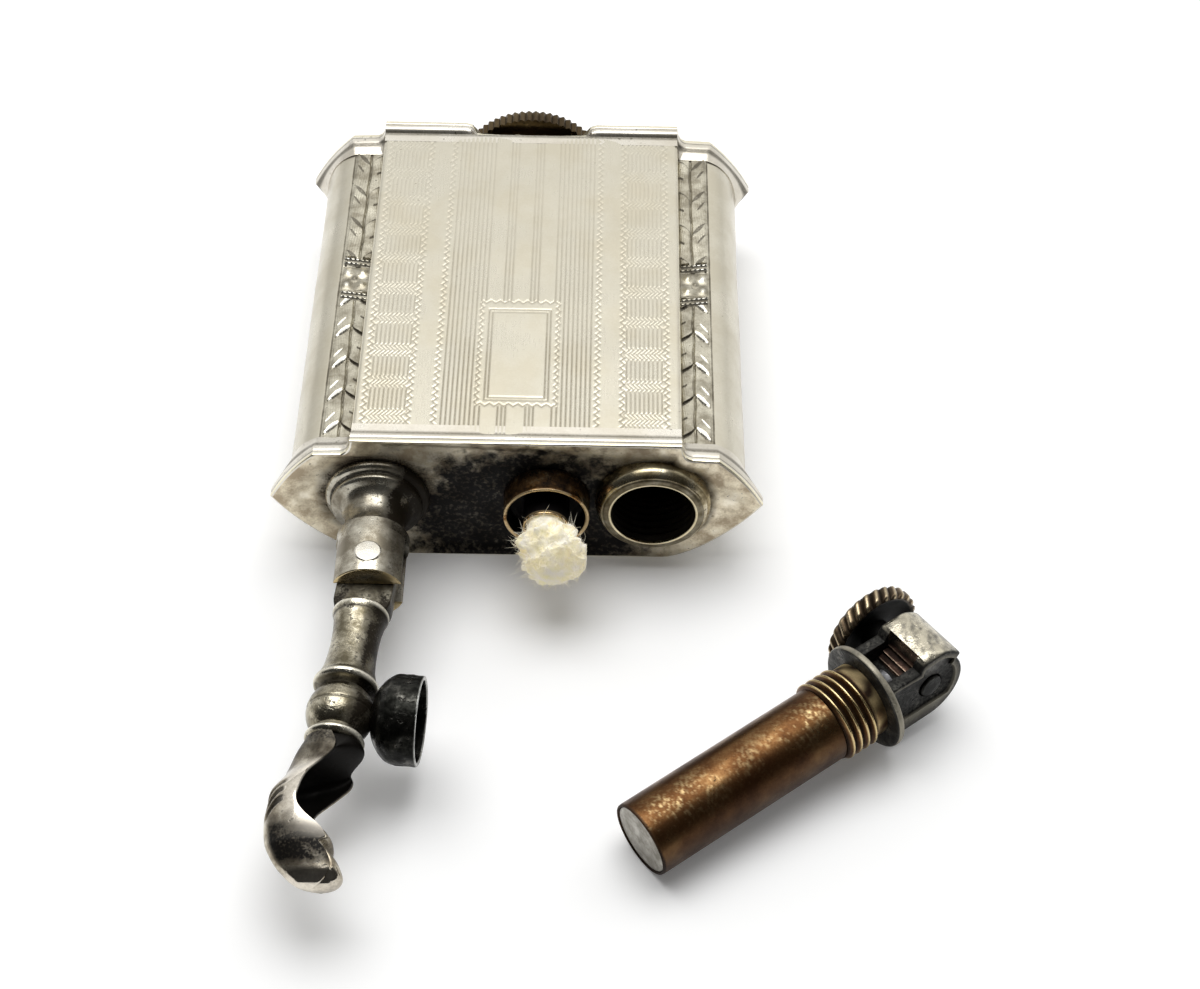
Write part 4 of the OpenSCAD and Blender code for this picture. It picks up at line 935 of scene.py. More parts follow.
# The hinge pin is a plain nickelled rivet through both ears and the arm's tongue. Its ends are
# spread flush and rubbed bright.
pin_r, pin_y = 0.9, top_seat - pin_h
pin_half = soft([[0, 3.12], [1.0, 3.11], [1.12, 3.02], [1.1, 2.86], [pin_r, 2.82], [pin_r, 0]],
                0.06)
pin_profile = np.concatenate([pin_half, pin_half[::-1][1:] * [1, -1]])
pin_grid = turned(pin_profile, 64) + [post_x, pin_y, mid_z]
bright_pin = metal("pin_nickel", (0.52, 0.49, 0.42), (0.62, 0.59, 0.52), (0.72, 0.69, 0.62),
                   dark_low, dark_worn, rough=(0.18, 0.3), patch=1.5, grain=9.0, pits=0.33)
surface("hinge_pin_rivet", [pin_grid], "case", bright_pin, ["hinge_pin"])

# The arm's spring is a bowed leaf of hardened steel that lies on the floor of the fork, bears
# on the tongue's round end and snaps the arm open and shut.
spring_steel = metal("spring_steel", (0.20, 0.19, 0.17), (0.36, 0.35, 0.33), (0.52, 0.51, 0.49),
                     (0.06, 0.045, 0.03), (0.6, 0.6, 0.58), rough=(0.25, 0.4), patch=0.9)
dress("arm_spring", spring_steel)

# The lift arm is one turned piece of nickelled brass: a flat tongue between the ears, a
# hollow-sided spool, a collar, a ball that carries the snuffer, and a second collar.
arm_lean = math.radians(4.8)
arm_axes = np.array([[math.cos(arm_lean), -math.sin(arm_lean), 0], [0, 0, 1],
                     [-math.sin(arm_lean), -math.cos(arm_lean), 0]])
ball_s, ball_r = 14.4, 2.7
upper_s, lower_s = ball_s - ball_r * 0.84 - 0.7, ball_s + ball_r * 0.84
leaf_s = lower_s + 0.7


def on_arm(grid):
    """Places points (across, up, along) in the arm's frame, whose zero is on the pin."""
    return grid @ arm_axes + [post_x, pin_y, mid_z]


spool = np.concatenate([
    [[0, 4.15], [1.9, 4.15]],
    soft([[1.9, 4.15], [2.2, 4.2], [2.36, 4.42], [2.3, 4.68], [2.13, 5.1], [1.98, 6.2],
          [1.93, 7.6], [1.97, 9.0], [2.1, 10.2], [2.3, 10.9], [2.34, 11.2], [2.62, upper_s + 0.08],
          [2.66, upper_s + 0.35], [2.5, upper_s + 0.62], [2.1, upper_s + 0.72],
          [1.8, upper_s + 0.95]], 0.3, 5)])
ball_a = np.linspace(math.radians(47), math.radians(135), 60)
ball_rise = ball_r - 0.09 * cut(ball_a - math.radians(91), 0.045)
ball_line = np.stack([ball_rise * np.sin(ball_a), ball_s - ball_rise * np.cos(ball_a)], -1)
lower_collar = soft([
    ball_line[-1], [1.95, lower_s + 0.1], [2.3, lower_s + 0.12], [2.42, lower_s + 0.35],
    [2.3, lower_s + 0.6], [2.0, leaf_s + 0.1], [0, leaf_s + 0.15]], 0.12)
arm_profile = np.concatenate([spool, ball_line, lower_collar[1:]])
arm_grid = turned(arm_profile)
arm_swing = np.linspace(0, 2 * np.pi, arm_grid.shape[1])
# Painted shade on the arm's right side and underside, and narrow darker rings at four places along
# it.
arm_low = 1.25 * painted_shade_round(arm_swing) * np.clip(0.95 + 0.4 * lumps(arm_grid, 1.8, 25), 0, 1)
for low_s, reach in ((5.0, 0.2), (upper_s + 0.85, 0.35), (lower_s + 0.05, 0.2),
                     (ball_s + 0.05, 0.06)):
    arm_low = np.maximum(arm_low, 0.9 * cut(arm_profile[:, 1:] - low_s, reach))
arm_worn = 0 * arm_low
for high_s, reach in ((4.45, 0.3), (upper_s + 0.35, 0.28), (lower_s + 0.38, 0.26)):
    high = np.clip(1.5 * cut(arm_profile[:, 1:] - high_s, reach), 0, 1)
    arm_worn = np.maximum(arm_worn, 0.85 * high)
tongue_w, knuckle_r, knuckle_t = 2.35, 2.4, 2.2
turn_a = np.linspace(np.pi, 2 * np.pi, 40)
tongue_line = np.concatenate([
    knuckle_r * np.stack([np.cos(turn_a), np.sin(turn_a)], -1),
    [[tongue_w, 0.6], [tongue_w, 3.3]], bow([tongue_w, 3.3], [tongue_w, 4.5], [1.5, 4.5], 8),
    bow([-1.5, 4.5], [-tongue_w, 4.5], [-tongue_w, 3.3], 8), [[-tongue_w, 0.6], [-knuckle_r, 0]]])
tongue = slab(tongue_line, -knuckle_t / 2, knuckle_t / 2, 0.14)
tongue = tongue[..., [0, 2, 1]]
tongue_low = (np.clip((tongue[..., 2] - 2.9) / 1.3, 0, 1)
              + 0.6 * np.clip((np.abs(tongue[..., 0]) - 1.7) / 0.5, 0, 1))
tongue_low = np.maximum(tongue_low, 0.12)
arm_nickel = metal("arm_nickel", (0.13, 0.112, 0.072), (0.33, 0.298, 0.222), (0.56, 0.52, 0.41),
                   dark_low, (0.84, 0.80, 0.68), rough=(0.12, 0.28), patch=0.6, grain=5.5,
                   pits=0.44, bump=0.022)
surface("lift_arm_turned", [on_arm(arm_grid), on_arm(tongue)], "lift_arm",
        arm_nickel, ["lift_arm"],
        marks={"low": [arm_low, tongue_low], "worn": [arm_worn, 0 * tongue_low]})

# The thumb leaf is a cast and filed lever soldered to the arm: hollowed like a shell on its
# inner side, with three file cuts on its back and a small hooked lobe at its tip.
leaf_l, leaf_w = 13.1, 2.4
# Each row: share of the length, outer face, inner chord, share of the width, how hollow the
# inner side is, and how far the section leans, in degrees.
leaf_path = np.array([
    [0, -2.2, 0, 0.88, -1, 0], [0.04, -2.4, 0.4, 0.90, -0.75, 3],
    [0.09, -2.8, 0.85, 0.92, -0.3, 9], [0.14, -3.25, 1.05, 0.94, 0.15, 17],
    [0.2, -3.75, 0.72, 0.96, 0.55, 25], [0.28, -4.05, -0.1, 0.96, 0.74, 27],
    [0.34, -4.1, -0.62, 0.96, 0.78, 21], [0.4, -4.1, -1.05, 0.95, 0.8, 14],
    [0.5, -4.05, -1.22, 0.93, 0.7, 9], [0.58, -4.0, -0.8, 0.92, 0.35, 4],
    [0.64, -3.9, 0.15, 0.9, 0.05, 0], [0.7, -3.72, 0.98, 0.86, -0.1, 0],
    [0.735, -3.58, 1.12, 0.84, -0.1, 0], [0.76, -3.44, 0.72, 0.82, -0.05, 0],
    [0.79, -3.22, 1.05, 0.79, -0.1, 0], [0.83, -2.88, 1.5, 0.74, -0.15, 0],
    [0.88, -2.33, 1.8, 0.66, -0.2, 0], [0.93, -1.65, 1.75, 0.56, -0.3, 0],
    [0.97, -0.95, 1.45, 0.42, -0.4, 0], [0.99, -0.5, 1.1, 0.28, -0.5, 0],
    [1, -0.1, 0.75, 0.1, -0.6, 0]])


def between_knots(t, knots, values):
    """A smooth line through values at knots: on each stretch a cubic whose slopes at the ends
    are those of the neighbouring values."""
    slope = np.gradient(values, knots, axis=0)
    i = np.clip(np.searchsorted(knots, t, "right") - 1, 0, len(knots) - 2)
    h = (knots[i + 1] - knots[i])[:, None]
    u = ((t - knots[i]) / h[:, 0])[:, None]
    return ((2 * u ** 3 - 3 * u ** 2 + 1) * values[i] + (u ** 3 - 2 * u ** 2 + u) * h * slope[i]
            + (3 * u ** 2 - 2 * u ** 3) * values[i + 1] + (u ** 3 - u ** 2) * h * slope[i + 1])


def gathered(row):
    """A row of points drawn together at its middle, which closes the end of a tube."""
    return np.broadcast_to(row[:-1].mean(0), row.shape)


share = np.linspace(0, 1, 221)
leaf_lines = between_knots(share, leaf_path[:, 0], leaf_path[:, 1:])
outer_x, chord_x, wide, hollow, lean = leaf_lines.T[..., None]
share = share[:, None]
wide = np.maximum(wide, 0.1) * leaf_w
fan = np.linspace(-np.pi / 2, np.pi / 2, 61)
thick_x = chord_x - outer_x
outside = np.stack([-thick_x * np.cos(fan), wide * np.sin(fan)], -1)
inside = np.stack([-thick_x * hollow * np.cos(fan[::-1]) + 0.02,
                   0.88 * wide * np.sin(fan[::-1])], -1)
filed, up = np.zeros(outside.shape[:2]), np.sin(fan)
for place in (0.36, 0.425, 0.495):
    slanted = (share - place - 0.177 * (0.9 - up)) * leaf_l
    filed = np.maximum(filed, cut(slanted, 0.30) ** 0.7 * np.clip((up - 0.22) * 3, 0, 1)
                       * np.clip((0.95 - up) * 12, 0, 1))
outside *= (1 - 0.13 * filed)[..., None]
ring_points = np.concatenate([outside, inside, outside[:, :1]], 1)
turn = np.radians(lean)
leaf_x = chord_x + ring_points[..., 0] * np.cos(turn) - ring_points[..., 1] * np.sin(turn)
leaf_z = ring_points[..., 1] * np.cos(turn) + ring_points[..., 0] * np.sin(turn)
leaf_grid = np.stack([leaf_x, leaf_z, leaf_s - 0.05 + share * leaf_l + 0 * leaf_x], -1)
leaf_grid = leaf_grid + 0.03 * lumps(leaf_grid, 2.2, 61)[..., None] * [1, 1, 0]
leaf_grid[:, -1] = leaf_grid[:, 0]
leaf_grid = np.concatenate([gathered(leaf_grid[0])[None], leaf_grid, gathered(leaf_grid[-1])[None]])

# Its cuts and its root are dark, the spoon and the hollow inner side carry painted shade, and
# its upper edge and tip are rubbed.
zero = np.zeros_like(inside[..., 0])
uneven = lumps(np.stack([outside[..., 0], outside[..., 1], share * leaf_l + zero], -1), 2.4, 62)
spoon = (np.clip((share - 0.57) * 9, 0, 1) * np.clip((0.93 - share) * 14, 0, 1)
         * np.clip((up - 0.28) * 5, 0, 1))
root_dark_and_spoon_shade = np.maximum(0.9 * np.clip(1.25 - share / 0.20, 0, 1), 1.15 * spoon)
root_dark_and_spoon_shade = root_dark_and_spoon_shade * np.clip(1.0 + 0.5 * uneven, 0, 1)
# The hollow inner side is painted dark, painted shade, darkest near the root.
hollow_shade = np.clip(2.1 - np.abs(share - 0.26) * 3.6, 0, 1.6)
leaf_low = np.concatenate([np.maximum(1.5 * filed, root_dark_and_spoon_shade), zero + hollow_shade, filed[:, :1]], 1)
high_edge = (np.clip(up, 0, 1) ** 9 * np.clip((0.76 - share) * 6, 0, 1)
             * np.clip((share - 0.19) * 12, 0, 1))
end_rim = np.clip((share - 0.9) * 14, 0, 1) + zero
leaf_worn = np.concatenate([np.maximum(0.9 * high_edge, 0.8 * end_rim), 0.5 * end_rim,
                            0 * filed[:, :1]], 1)
leaf_low = np.pad(leaf_low, ((1, 1), (0, 0)), mode="edge")
leaf_worn = np.pad(leaf_worn, ((1, 1), (0, 0)), mode="edge")
leaf_nickel = metal("leaf_nickel", (0.10, 0.08, 0.055), (0.30, 0.26, 0.195), (0.60, 0.55, 0.45),
                    (0.006, 0.005, 0.004), (0.82, 0.76, 0.66), rough=(0.10, 0.26), patch=0.5,
                    grain=5.0, pits=0.38)
surface("thumb_leaf_shell", [on_arm(leaf_grid)], "lift_arm", leaf_nickel,
        ["thumb_leaf"], marks={"low": [leaf_low], "worn": [leaf_worn]}, sharp=50)

# The snuffer is a cast cup fixed to the ball by a riveted stud. The flame has burnt its
# plating to a black, pitted skin; only its rim is bare.
cup_rim = pin_h - guard_h - 0.05
cup_r, cup_back, cup_wall = 3.65, cup_rim - 4.05, 0.35
cup_a = np.linspace(0, np.pi / 2, 40)
cup_shoulder = cup_rim - 1.6
cup_depth = cup_shoulder - cup_back
cup_out = np.stack([cup_r * np.sin(cup_a), cup_shoulder - cup_depth * np.cos(cup_a)], -1)
cup_in = np.stack([(cup_r - cup_wall) * np.sin(cup_a),
                   cup_shoulder - (cup_depth - cup_wall) * np.cos(cup_a)], -1)
cup_straight = np.linspace([cup_r, cup_shoulder], [cup_r - 0.02, cup_rim - 0.12], 14)[1:]
cup_lip = [[cup_r - 0.05, cup_rim - 0.03], [cup_r - 0.12, cup_rim], [cup_r - 0.26, cup_rim],
           [cup_r - cup_wall, cup_rim - 0.06]]
cup_profile = np.concatenate([cup_out, cup_straight, cup_lip,
                              (cup_straight - [cup_wall, 0])[::-1], cup_in[::-1]])
cup_grid = turned(cup_profile)
rough_skin = 0.05 * lumps(cup_grid, 1.3, 71) + 0.022 * lumps(cup_grid, 0.45, 72)
fade = np.clip((cup_rim - cup_profile[:, 1:]) * 2, 0.15, 1) * np.clip(cup_profile[:, :1] * 3, 0, 1)
cup_grid[..., :2] *= (1 + rough_skin * fade / 3.4 - 0.012)[..., None]
cup_grid = np.stack([cup_grid[..., 2], cup_grid[..., 1], ball_s - cup_grid[..., 0]], -1)
lip_worn = np.where(cup_profile[:, 1:] > cup_rim - 0.09, 0.8, 0)
lip_worn = lip_worn * np.clip(0.75 + 0.5 * lumps(cup_grid, 1.5, 73), 0, 1)
burnt = metal("burnt_nickel", (0.007, 0.007, 0.006), (0.024, 0.024, 0.021), (0.13, 0.125, 0.11),
              (0.006, 0.005, 0.005), (0.55, 0.55, 0.52), rough=(0.22, 0.5), patch=0.7, grain=4.0,
              pits=0.42, bump=0.03, spread=(0.42, 0.56, 0.74))
surface("snuffer_cup_cast", [on_arm(cup_grid)], "lift_arm", burnt, ["snuffer_cup"],
        marks={"worn": [lip_worn], "low": [np.zeros(cup_grid.shape[:2])]})
dress("snuffer_stud", burnt)

# The striker unit screws out of the case: a brass tube for the flint and its spring, brown
# with age, with rubbed specks and a painted highlight along its upper side and painted shade
# under it, closed by a steel disc.
unit_place = np.array([10.6, -52.2, 0])
tube_r, tube_l, bore_r = 3.15, 18.1, 1.45
collar_l, flange_r, flange_t = 4.1, 4.58, 0.7
flange_s = tube_l + collar_l
lie = math.atan((flange_r - tube_r) / flange_s)
turn, roll_angle = math.radians(36), math.radians(4.2)
unit_place[2] = tube_r * math.cos(lie)


def spun(axis, angle):
    """The matrix that turns row vectors by the angle about one of the three axes."""
    c, s = math.cos(angle), math.sin(angle)
    i, j = [(1, 2), (2, 0), (0, 1)][axis]
    m = np.eye(3)
    m[i, i], m[i, j], m[j, i], m[j, j] = c, s, -s, c
    return m


unit_axes = spun(0, -roll_angle) @ spun(1, -lie) @ spun(2, turn)


def on_unit(grid):
    """Places points (along, across, up) in the loose unit's frame, whose zero is the end."""
    return grid @ unit_axes + unit_place


def unit_turned(profile, n=96):
    """A turned form along the unit: the profile's height becomes the place along it."""
    return turned(profile, n)[..., [2, 0, 1]]


brown_brass = metal("brown_brass", (0.060, 0.025, 0.010), (0.112, 0.052, 0.020),
                    (0.20, 0.11, 0.045), (0.02, 0.010, 0.005), (0.74, 0.58, 0.30),
                    rough=(0.26, 0.42), patch=0.28, grain=6.5, bump=0.010, pits=0.34,
                    spread=(0.36, 0.50, 0.68))
long_rows = np.linspace(0.3, tube_l - 0.1, 160)
tube_line = closed(np.concatenate([
    soft([[bore_r, 0.9], [2.9, 0.9], [2.9, 0.12], [3.0, 0.0], [3.12, 0.06], [tube_r, 0.3]], 0.06),
    np.stack([np.full(len(long_rows), tube_r), long_rows], -1)[1:],
    [[3.05, tube_l], [bore_r, tube_l]]]))
tube_grid = unit_turned(tube_line, 160)
swing = np.linspace(0, 2 * np.pi, tube_grid.shape[1])
# Rubbed specks lie in a streak along the upper side, most of them near the tube's two ends;
# the streak is also a painted highlight. The end is dark, and the underside carries painted shade.
highlight_streak = np.clip(np.cos(swing - 1.82), 0, 1) ** 9
specks = (0.45 * lumps(tube_grid, 3.2, 81) + 0.5 * lumps(tube_grid, 0.55, 82)
          + 0.5 * lumps(tube_grid, 0.28, 83))
along = tube_grid[..., 0]
near_ends = np.maximum(np.exp(-((along - 3.5) / 3.2) ** 2), np.exp(-((along - 15.6) / 2.0) ** 2))
rub = 0.85 * np.clip(specks, 0, 1) * highlight_streak * (0.35 + 0.65 * near_ends)
rub = np.where(tube_line[:, 1:] < 0.22, 0, rub)
end_dark_and_under_shade = (np.where(tube_line[:, 1:] < 0.25, 0.8, 0)
            + 0.75 * np.clip(1.3 * np.cos(swing - 4.0), 0, 1))
surface("flint_tube_brass", [on_unit(tube_grid)], "striker_unit", brown_brass,
        ["flint_tube"], marks={"worn": [np.clip(rub, 0, 1)], "low": [end_dark_and_under_shade]})
plug_line = soft([[0, 0.10], [2.5, 0.09], [2.86, 0.14], [2.88, 0.5], [2.88, 1.28], [0, 1.28]], 0.05)
grey_steel = metal("grey_steel", (0.22, 0.205, 0.17), (0.33, 0.31, 0.27), (0.46, 0.44, 0.39),
                   (0.08, 0.05, 0.03), (0.7, 0.7, 0.68), rough=(0.34, 0.5), patch=0.8, grain=5.0,
                   brushed=(1, 0.1, 0.3), bump=0.012, pits=0.34)
surface("tube_end_disc", [on_unit(unit_turned(plug_line, 72))], "striker_unit", grey_steel,
        ["tube_end_plug"])

# The collar carries the right-handed thread that screws into the case, and a plain golden
# neck behind it.
core_r, thread_d, thread_l = 3.08, 0.42, 3.0
collar_s = np.concatenate([np.linspace(tube_l, tube_l + thread_l + 0.25, 130),
                           np.linspace(tube_l + thread_l + 0.3, flange_s, 12)])[:, None]
swing = np.linspace(0, 2 * np.pi, 97)
phase = (collar_s - tube_l - 0.1) / thread_pitch - swing / (2 * np.pi)
ridge = np.clip(1.18 - 2.5 * np.abs(phase - np.round(phase)), 0, 1)
alive = np.clip((phase + 0.9) * 4, 0, 1) * np.clip((3.75 - phase) * 4, 0, 1)
past = np.clip((collar_s - tube_l - thread_l) / 0.25, 0, 1)
collar_r = core_r + thread_d * ridge * alive * (1 - past) + 0.08 * past
collar_outer = np.stack([collar_s + 0 * swing, collar_r * np.cos(swing),
                         collar_r * np.sin(swing)], -1)
collar_bore = unit_turned([[bore_r, flange_s], [bore_r, tube_l]])
collar_grid = np.concatenate([collar_outer, collar_bore, collar_outer[:1]])
crest = np.clip(ridge * alive * 4 - 3.0, 0, 1) * (1 - past)
neck_bright = past * np.clip(0.35 + 0.6 * lumps(collar_outer, 1.6, 91), 0, 1)
# The neck carries painted shade round part of its girth.
neck_painted_shade = 1.3 * past * painted_shade_round(swing - 1.3)
valley = np.clip(1.3 - 1.9 * ridge * alive, 0, 1) * (1 - past)
bore_mark = np.zeros((3, len(swing)))
collar_worn = np.concatenate([np.maximum(0.95 * crest, neck_bright), bore_mark])
collar_low = np.concatenate([np.maximum(valley, 0.9 * neck_painted_shade), bore_mark])
surface("thread_collar_cut", [on_unit(collar_grid)], "striker_unit", brown_brass,
        ["thread_collar"], marks={"worn": [collar_worn], "low": [collar_low]}, sharp=70)

# The wheel housing is nickelled and much darkened: a flange, two cheeks joined by a rounded
# nose, a bright worn cover over the wheel, and a window that shows the wheel's file teeth.
axle_s, nose_s = flange_s + 5.1, flange_s + 4.8
housing_w, nose_r, nose_z, bar_r = 2.7, 3.35, 0.05, 4.36
deck_z, floor_z, pocket_z = 2.72, -3.3, 1.0
window_from, window_to = flange_s + flange_t + 0.3, axle_s - 0.7
flange_line = closed(soft([
    [bore_r, flange_s], [4.4, flange_s], [flange_r, flange_s + 0.14], [4.6, flange_s + 0.35],
    [4.56, flange_s + 0.58], [4.36, flange_s + flange_t], [bore_r, flange_s + flange_t]], 0.08))
flange_grid = unit_turned(flange_line)
flange_worn = np.where(flange_line[:, :1] > 4.52, 0.55, 0)
flange_worn = flange_worn * np.clip(0.9 + 0.5 * lumps(flange_grid, 2.0, 95), 0, 1)
flange_face = (flange_line[:, :1] < 4.3) & (flange_line[:, 1:] < flange_s + 0.3)
flange_low = np.where(flange_face, 1.25, 0.75) + 0 * flange_worn

body_s = flange_s + flange_t - 0.1
window_s = np.linspace(window_from, window_to, 22)
deck = np.stack([window_s, np.full(len(window_s), deck_z)], -1)
deck[-5:, 1] += np.linspace(0, 1.0, 5) ** 0.6 * 0.95
cover_a = np.linspace(math.radians(100), math.radians(38), 16)
cover = np.stack([nose_s + 0.2 + 3.7 * np.cos(cover_a), nose_z + 3.7 * np.sin(cover_a)], -1)
nose_a = np.linspace(math.radians(34), math.radians(-90), 26)
nose = np.stack([nose_s + nose_r * np.cos(nose_a), nose_z + nose_r * np.sin(nose_a)], -1)
floor_line = np.linspace([nose_s, floor_z], [body_s, floor_z], 9)[1:]
end_line = np.linspace([body_s, floor_z], [body_s, deck_z], 9)[1:]
side_line = np.concatenate([deck, cover, nose, floor_line, end_line, deck[:1]])
# The rows across it: even ones over the window, and closer ones on the rounded edges.
window_half, window_rows = 1.7, 15
window_y = np.linspace(-window_half, window_half, window_rows)
edge_y, edge_in = np.array([2.1, 2.45, 2.6, 2.68, housing_w]), [0, 0, 0.02, 0.07, 0.14]
side_y = np.concatenate([-edge_y[::-1], window_y, edge_y])
inset = np.concatenate([edge_in[::-1], np.zeros(window_rows), edge_in])
hub = np.array([axle_s, 0.0])


def side_at(y, shrink):
    """The housing's side outline at a place across it, drawn in by the shrink and cut by the
    round bar that it was turned from."""
    aim = side_line - hub
    line = side_line - aim / np.linalg.norm(aim, axis=1, keepdims=True) * shrink
    limit = math.sqrt(max(bar_r ** 2 - y * y, 0))
    return np.stack([line[:, 0], np.full(len(line), y), np.clip(line[:, 1], -limit, limit)], -1)


skin_rows = np.stack([side_at(y, s) for y, s in zip(side_y, inset)])
# The window is left out of the skin, and a shallow pocket closes it under the wheel.
first_in, window_end = len(edge_y), len(window_s)
last_in = first_in + window_rows - 1
outer_skin = [skin_rows[:first_in + 1], skin_rows[last_in:],
              skin_rows[first_in:last_in + 1, window_end - 1:]]
window = skin_rows[first_in:last_in + 1, :window_end]
pocket = np.pad(window, ((1, 1), (1, 1), (0, 0)), mode="edge")
pocket[1:-1, 1:-1, 2] = pocket_z


def cheek_face(rim, inwards, sunk, hole):
    """One side of the housing: its flat rim, a sunk panel, and the hole over the axle's end.
    The sign of inwards is the way in along the axle."""
    aim = rim[:, [0, 2]] - hub
    aim = aim / np.linalg.norm(aim, axis=1, keepdims=True)
    panel = np.maximum(rim[:, [0, 2]] - aim * 0.5, [body_s + 0.15, -1.9])
    level = rim[0, 1] + sunk
    rows = [(panel, rim[0, 1]), (panel - aim * 0.12, rim[0, 1] + sunk * 0.8),
            (panel - aim * 0.25, level)]
    rows += [(hub + aim * hole * k, level + d * inwards)
             for k, d in ((1.12, 0), (1.0, 0.06), (0.98, 0.45), (0, 0.45))]
    return np.stack([rim] + [np.stack([p[:, 0], np.full(len(p), y), p[:, 1]], -1) for p, y in rows])


near_face = cheek_face(skin_rows[0], 1, 0.3, 1.15)
far_face = cheek_face(skin_rows[-1], -1, 0.0, 0.9)
# Only the cover is bright, and the near cheek's rim a little. The rest is dark, and the pocket
# black, painted shade under the wheel.
block = [("skin", grid) for grid in outer_skin]
block += [("pocket", pocket), ("near cheek", near_face), ("far cheek", far_face)]
block_low, block_worn = [], []
for part, grid in block:
    s, y, z = grid[..., 0], grid[..., 1], grid[..., 2]
    cover_zone = (np.clip((z - 2.2) * 2, 0, 1) * np.clip((s - window_to + 0.3) * 6, 0, 1)
                  * np.clip((2.62 - np.abs(y)) * 8, 0, 1))
    dark = {"skin": 0.95, "pocket": 1.3}.get(part, 1.1)
    block_low.append(np.clip(dark - cover_zone, 0, 1))
    worn = np.zeros(s.shape)
    if part == "skin":
        worn = 0.95 * cover_zone * np.clip(0.75 + 0.9 * lumps(grid, 0.7, 97), 0.1, 1)
    if part == "near cheek":
        worn[:2] = 0.35
        worn[0] += 0.4 * (s[0] > nose_s)
    block_worn.append(worn)
housing_metal = metal("housing_nickel", (0.05, 0.046, 0.04), (0.12, 0.115, 0.10),
                      (0.34, 0.32, 0.27), (0.008, 0.0078, 0.007), (0.60, 0.55, 0.43),
                      rough=(0.16, 0.38), patch=0.7, grain=4.0, bump=0.030, pits=0.44)
housing_grids = [on_unit(grid) for grid in [flange_grid] + [grid for _, grid in block]]
surface("wheel_housing_block", housing_grids, "striker_unit", housing_metal,
        ["wheel_housing"],
        marks={"low": [flange_low] + block_low, "worn": [flange_worn] + block_worn}, sharp=45)

# The striker wheel is hardened steel, cut across with coarse file teeth and brown with rust
# and spark dust.
file_r, file_half, axle_hole = 2.5, 1.6, 0.8
teeth, file_rows = 24, 24
swing = np.linspace(0, 2 * np.pi, teeth * 8 + 1)
tooth = swing / (2 * np.pi) * teeth
tooth = tooth - np.floor(tooth)
saw = np.where(tooth < 0.75, tooth / 0.75, (1 - tooth) / 0.25)
across_y = np.linspace(-file_half, file_half, file_rows)[:, None]
on_rim = np.stack(np.broadcast_arrays(swing * 2.5, across_y, 0 * swing), -1)
wheel_r = file_r - 0.30 * (1 - saw) + 0.02 * lumps(on_rim, 0.6, 101)


def wheel_ring(r, y):
    """A ring round the axle's line at the angles in swing, with the radius r, at the place y
    across the housing."""
    return np.stack([axle_s + r * np.cos(swing), y + 0 * swing, r * np.sin(swing)], -1)


wheel_rows = [wheel_ring(axle_hole, -file_half), wheel_ring(file_r - 0.45, -file_half)]
wheel_rows += [wheel_ring(r, y) for r, y in zip(wheel_r, across_y)]
wheel_rows += [wheel_ring(file_r - 0.45, file_half), wheel_ring(axle_hole, file_half)]
wheel_grid = np.stack(wheel_rows + wheel_rows[:1])
wheel_low, wheel_worn = np.zeros(wheel_grid.shape[:2]), np.zeros(wheel_grid.shape[:2])
wheel_low[2:2 + file_rows] = 0.9 * (1 - saw) ** 0.7
wheel_worn[2:2 + file_rows] = np.clip(saw * 6 - 5, 0, 1) * 0.7
file_steel = metal("file_steel", (0.035, 0.018, 0.012), (0.085, 0.043, 0.029), (0.19, 0.115, 0.08),
                   (0.008, 0.006, 0.005), (0.50, 0.38, 0.28), rough=(0.35, 0.6), patch=1.0,
                   grain=8.0, bump=0.02)
surface("striker_wheel_cut", [on_unit(wheel_grid)], "spark_wheel", file_steel,
        ["striker_wheel"], marks={"low": [wheel_low], "worn": [wheel_worn]}, sharp=50)

# The thumb wheel on the same axle is brass with slanting rounded ridges round its edge and a
# dished face that has gone black.
thumb_in, thumb_t, thumb_r, ridges = housing_w + 1.5, 1.5, 4.25, 26
hub_end = -1.45
swing = np.linspace(0, 2 * np.pi, ridges * 12 + 1)
thumb_rows, thumb_low, thumb_worn = [], [], []


def thumb_ring(r, w, low, worn):
    """Adds one ring of the thumb wheel: radius, place across it, and its marks."""
    thumb_rows.append(wheel_ring(r, thumb_in + w))
    thumb_low.append(low + 0 * swing)
    thumb_worn.append(worn + 0 * swing)


hub_face = [(axle_hole, hub_end), (1.3, hub_end), (1.35, -1.38), (1.35, 0.5), (1.5, 0.6),
            (2.4, 0.62), (3.1, 0.5), (3.5, 0.22), (3.68, 0.04), (3.8, 0.0)]
for r, w in hub_face:
    thumb_ring(r, w, 1.4 if r < 3.6 else 0.7, 0.0)
for t in np.linspace(0, 1, 22):
    wave = (swing * ridges / (2 * np.pi) + t * 0.9) % 1
    ridge = np.clip(np.sin(np.pi * wave), 0, 1) ** 0.55
    side = abs(2 * t - 1)
    valley = 0.46 * (1 - ridge) * (1 - 0.45 * side ** 8)
    thumb_ring(thumb_r - valley - 0.30 * side ** 6, 0.03 + t * (thumb_t - 0.06),
               0.95 * (1 - ridge) ** 0.6, np.clip((ridge - 0.93) * 9, 0, 0.55))
for r, w in ((3.8, 0), (3.4, 0.02), (1.6, 0.04), (1.35, 0.1), (1.25, 0.2), (axle_hole, 0.2)):
    thumb_ring(r, thumb_t + w, 0.5, 0.0)
thumb_ring(axle_hole, hub_end, 0.9, 0.0)
thumb_brass = metal("thumb_brass", (0.07, 0.046, 0.026), (0.13, 0.088, 0.050), (0.27, 0.20, 0.12),
                    (0.005, 0.0045, 0.004), (0.80, 0.66, 0.44), rough=(0.16, 0.34), patch=0.3,
                    grain=6.0)
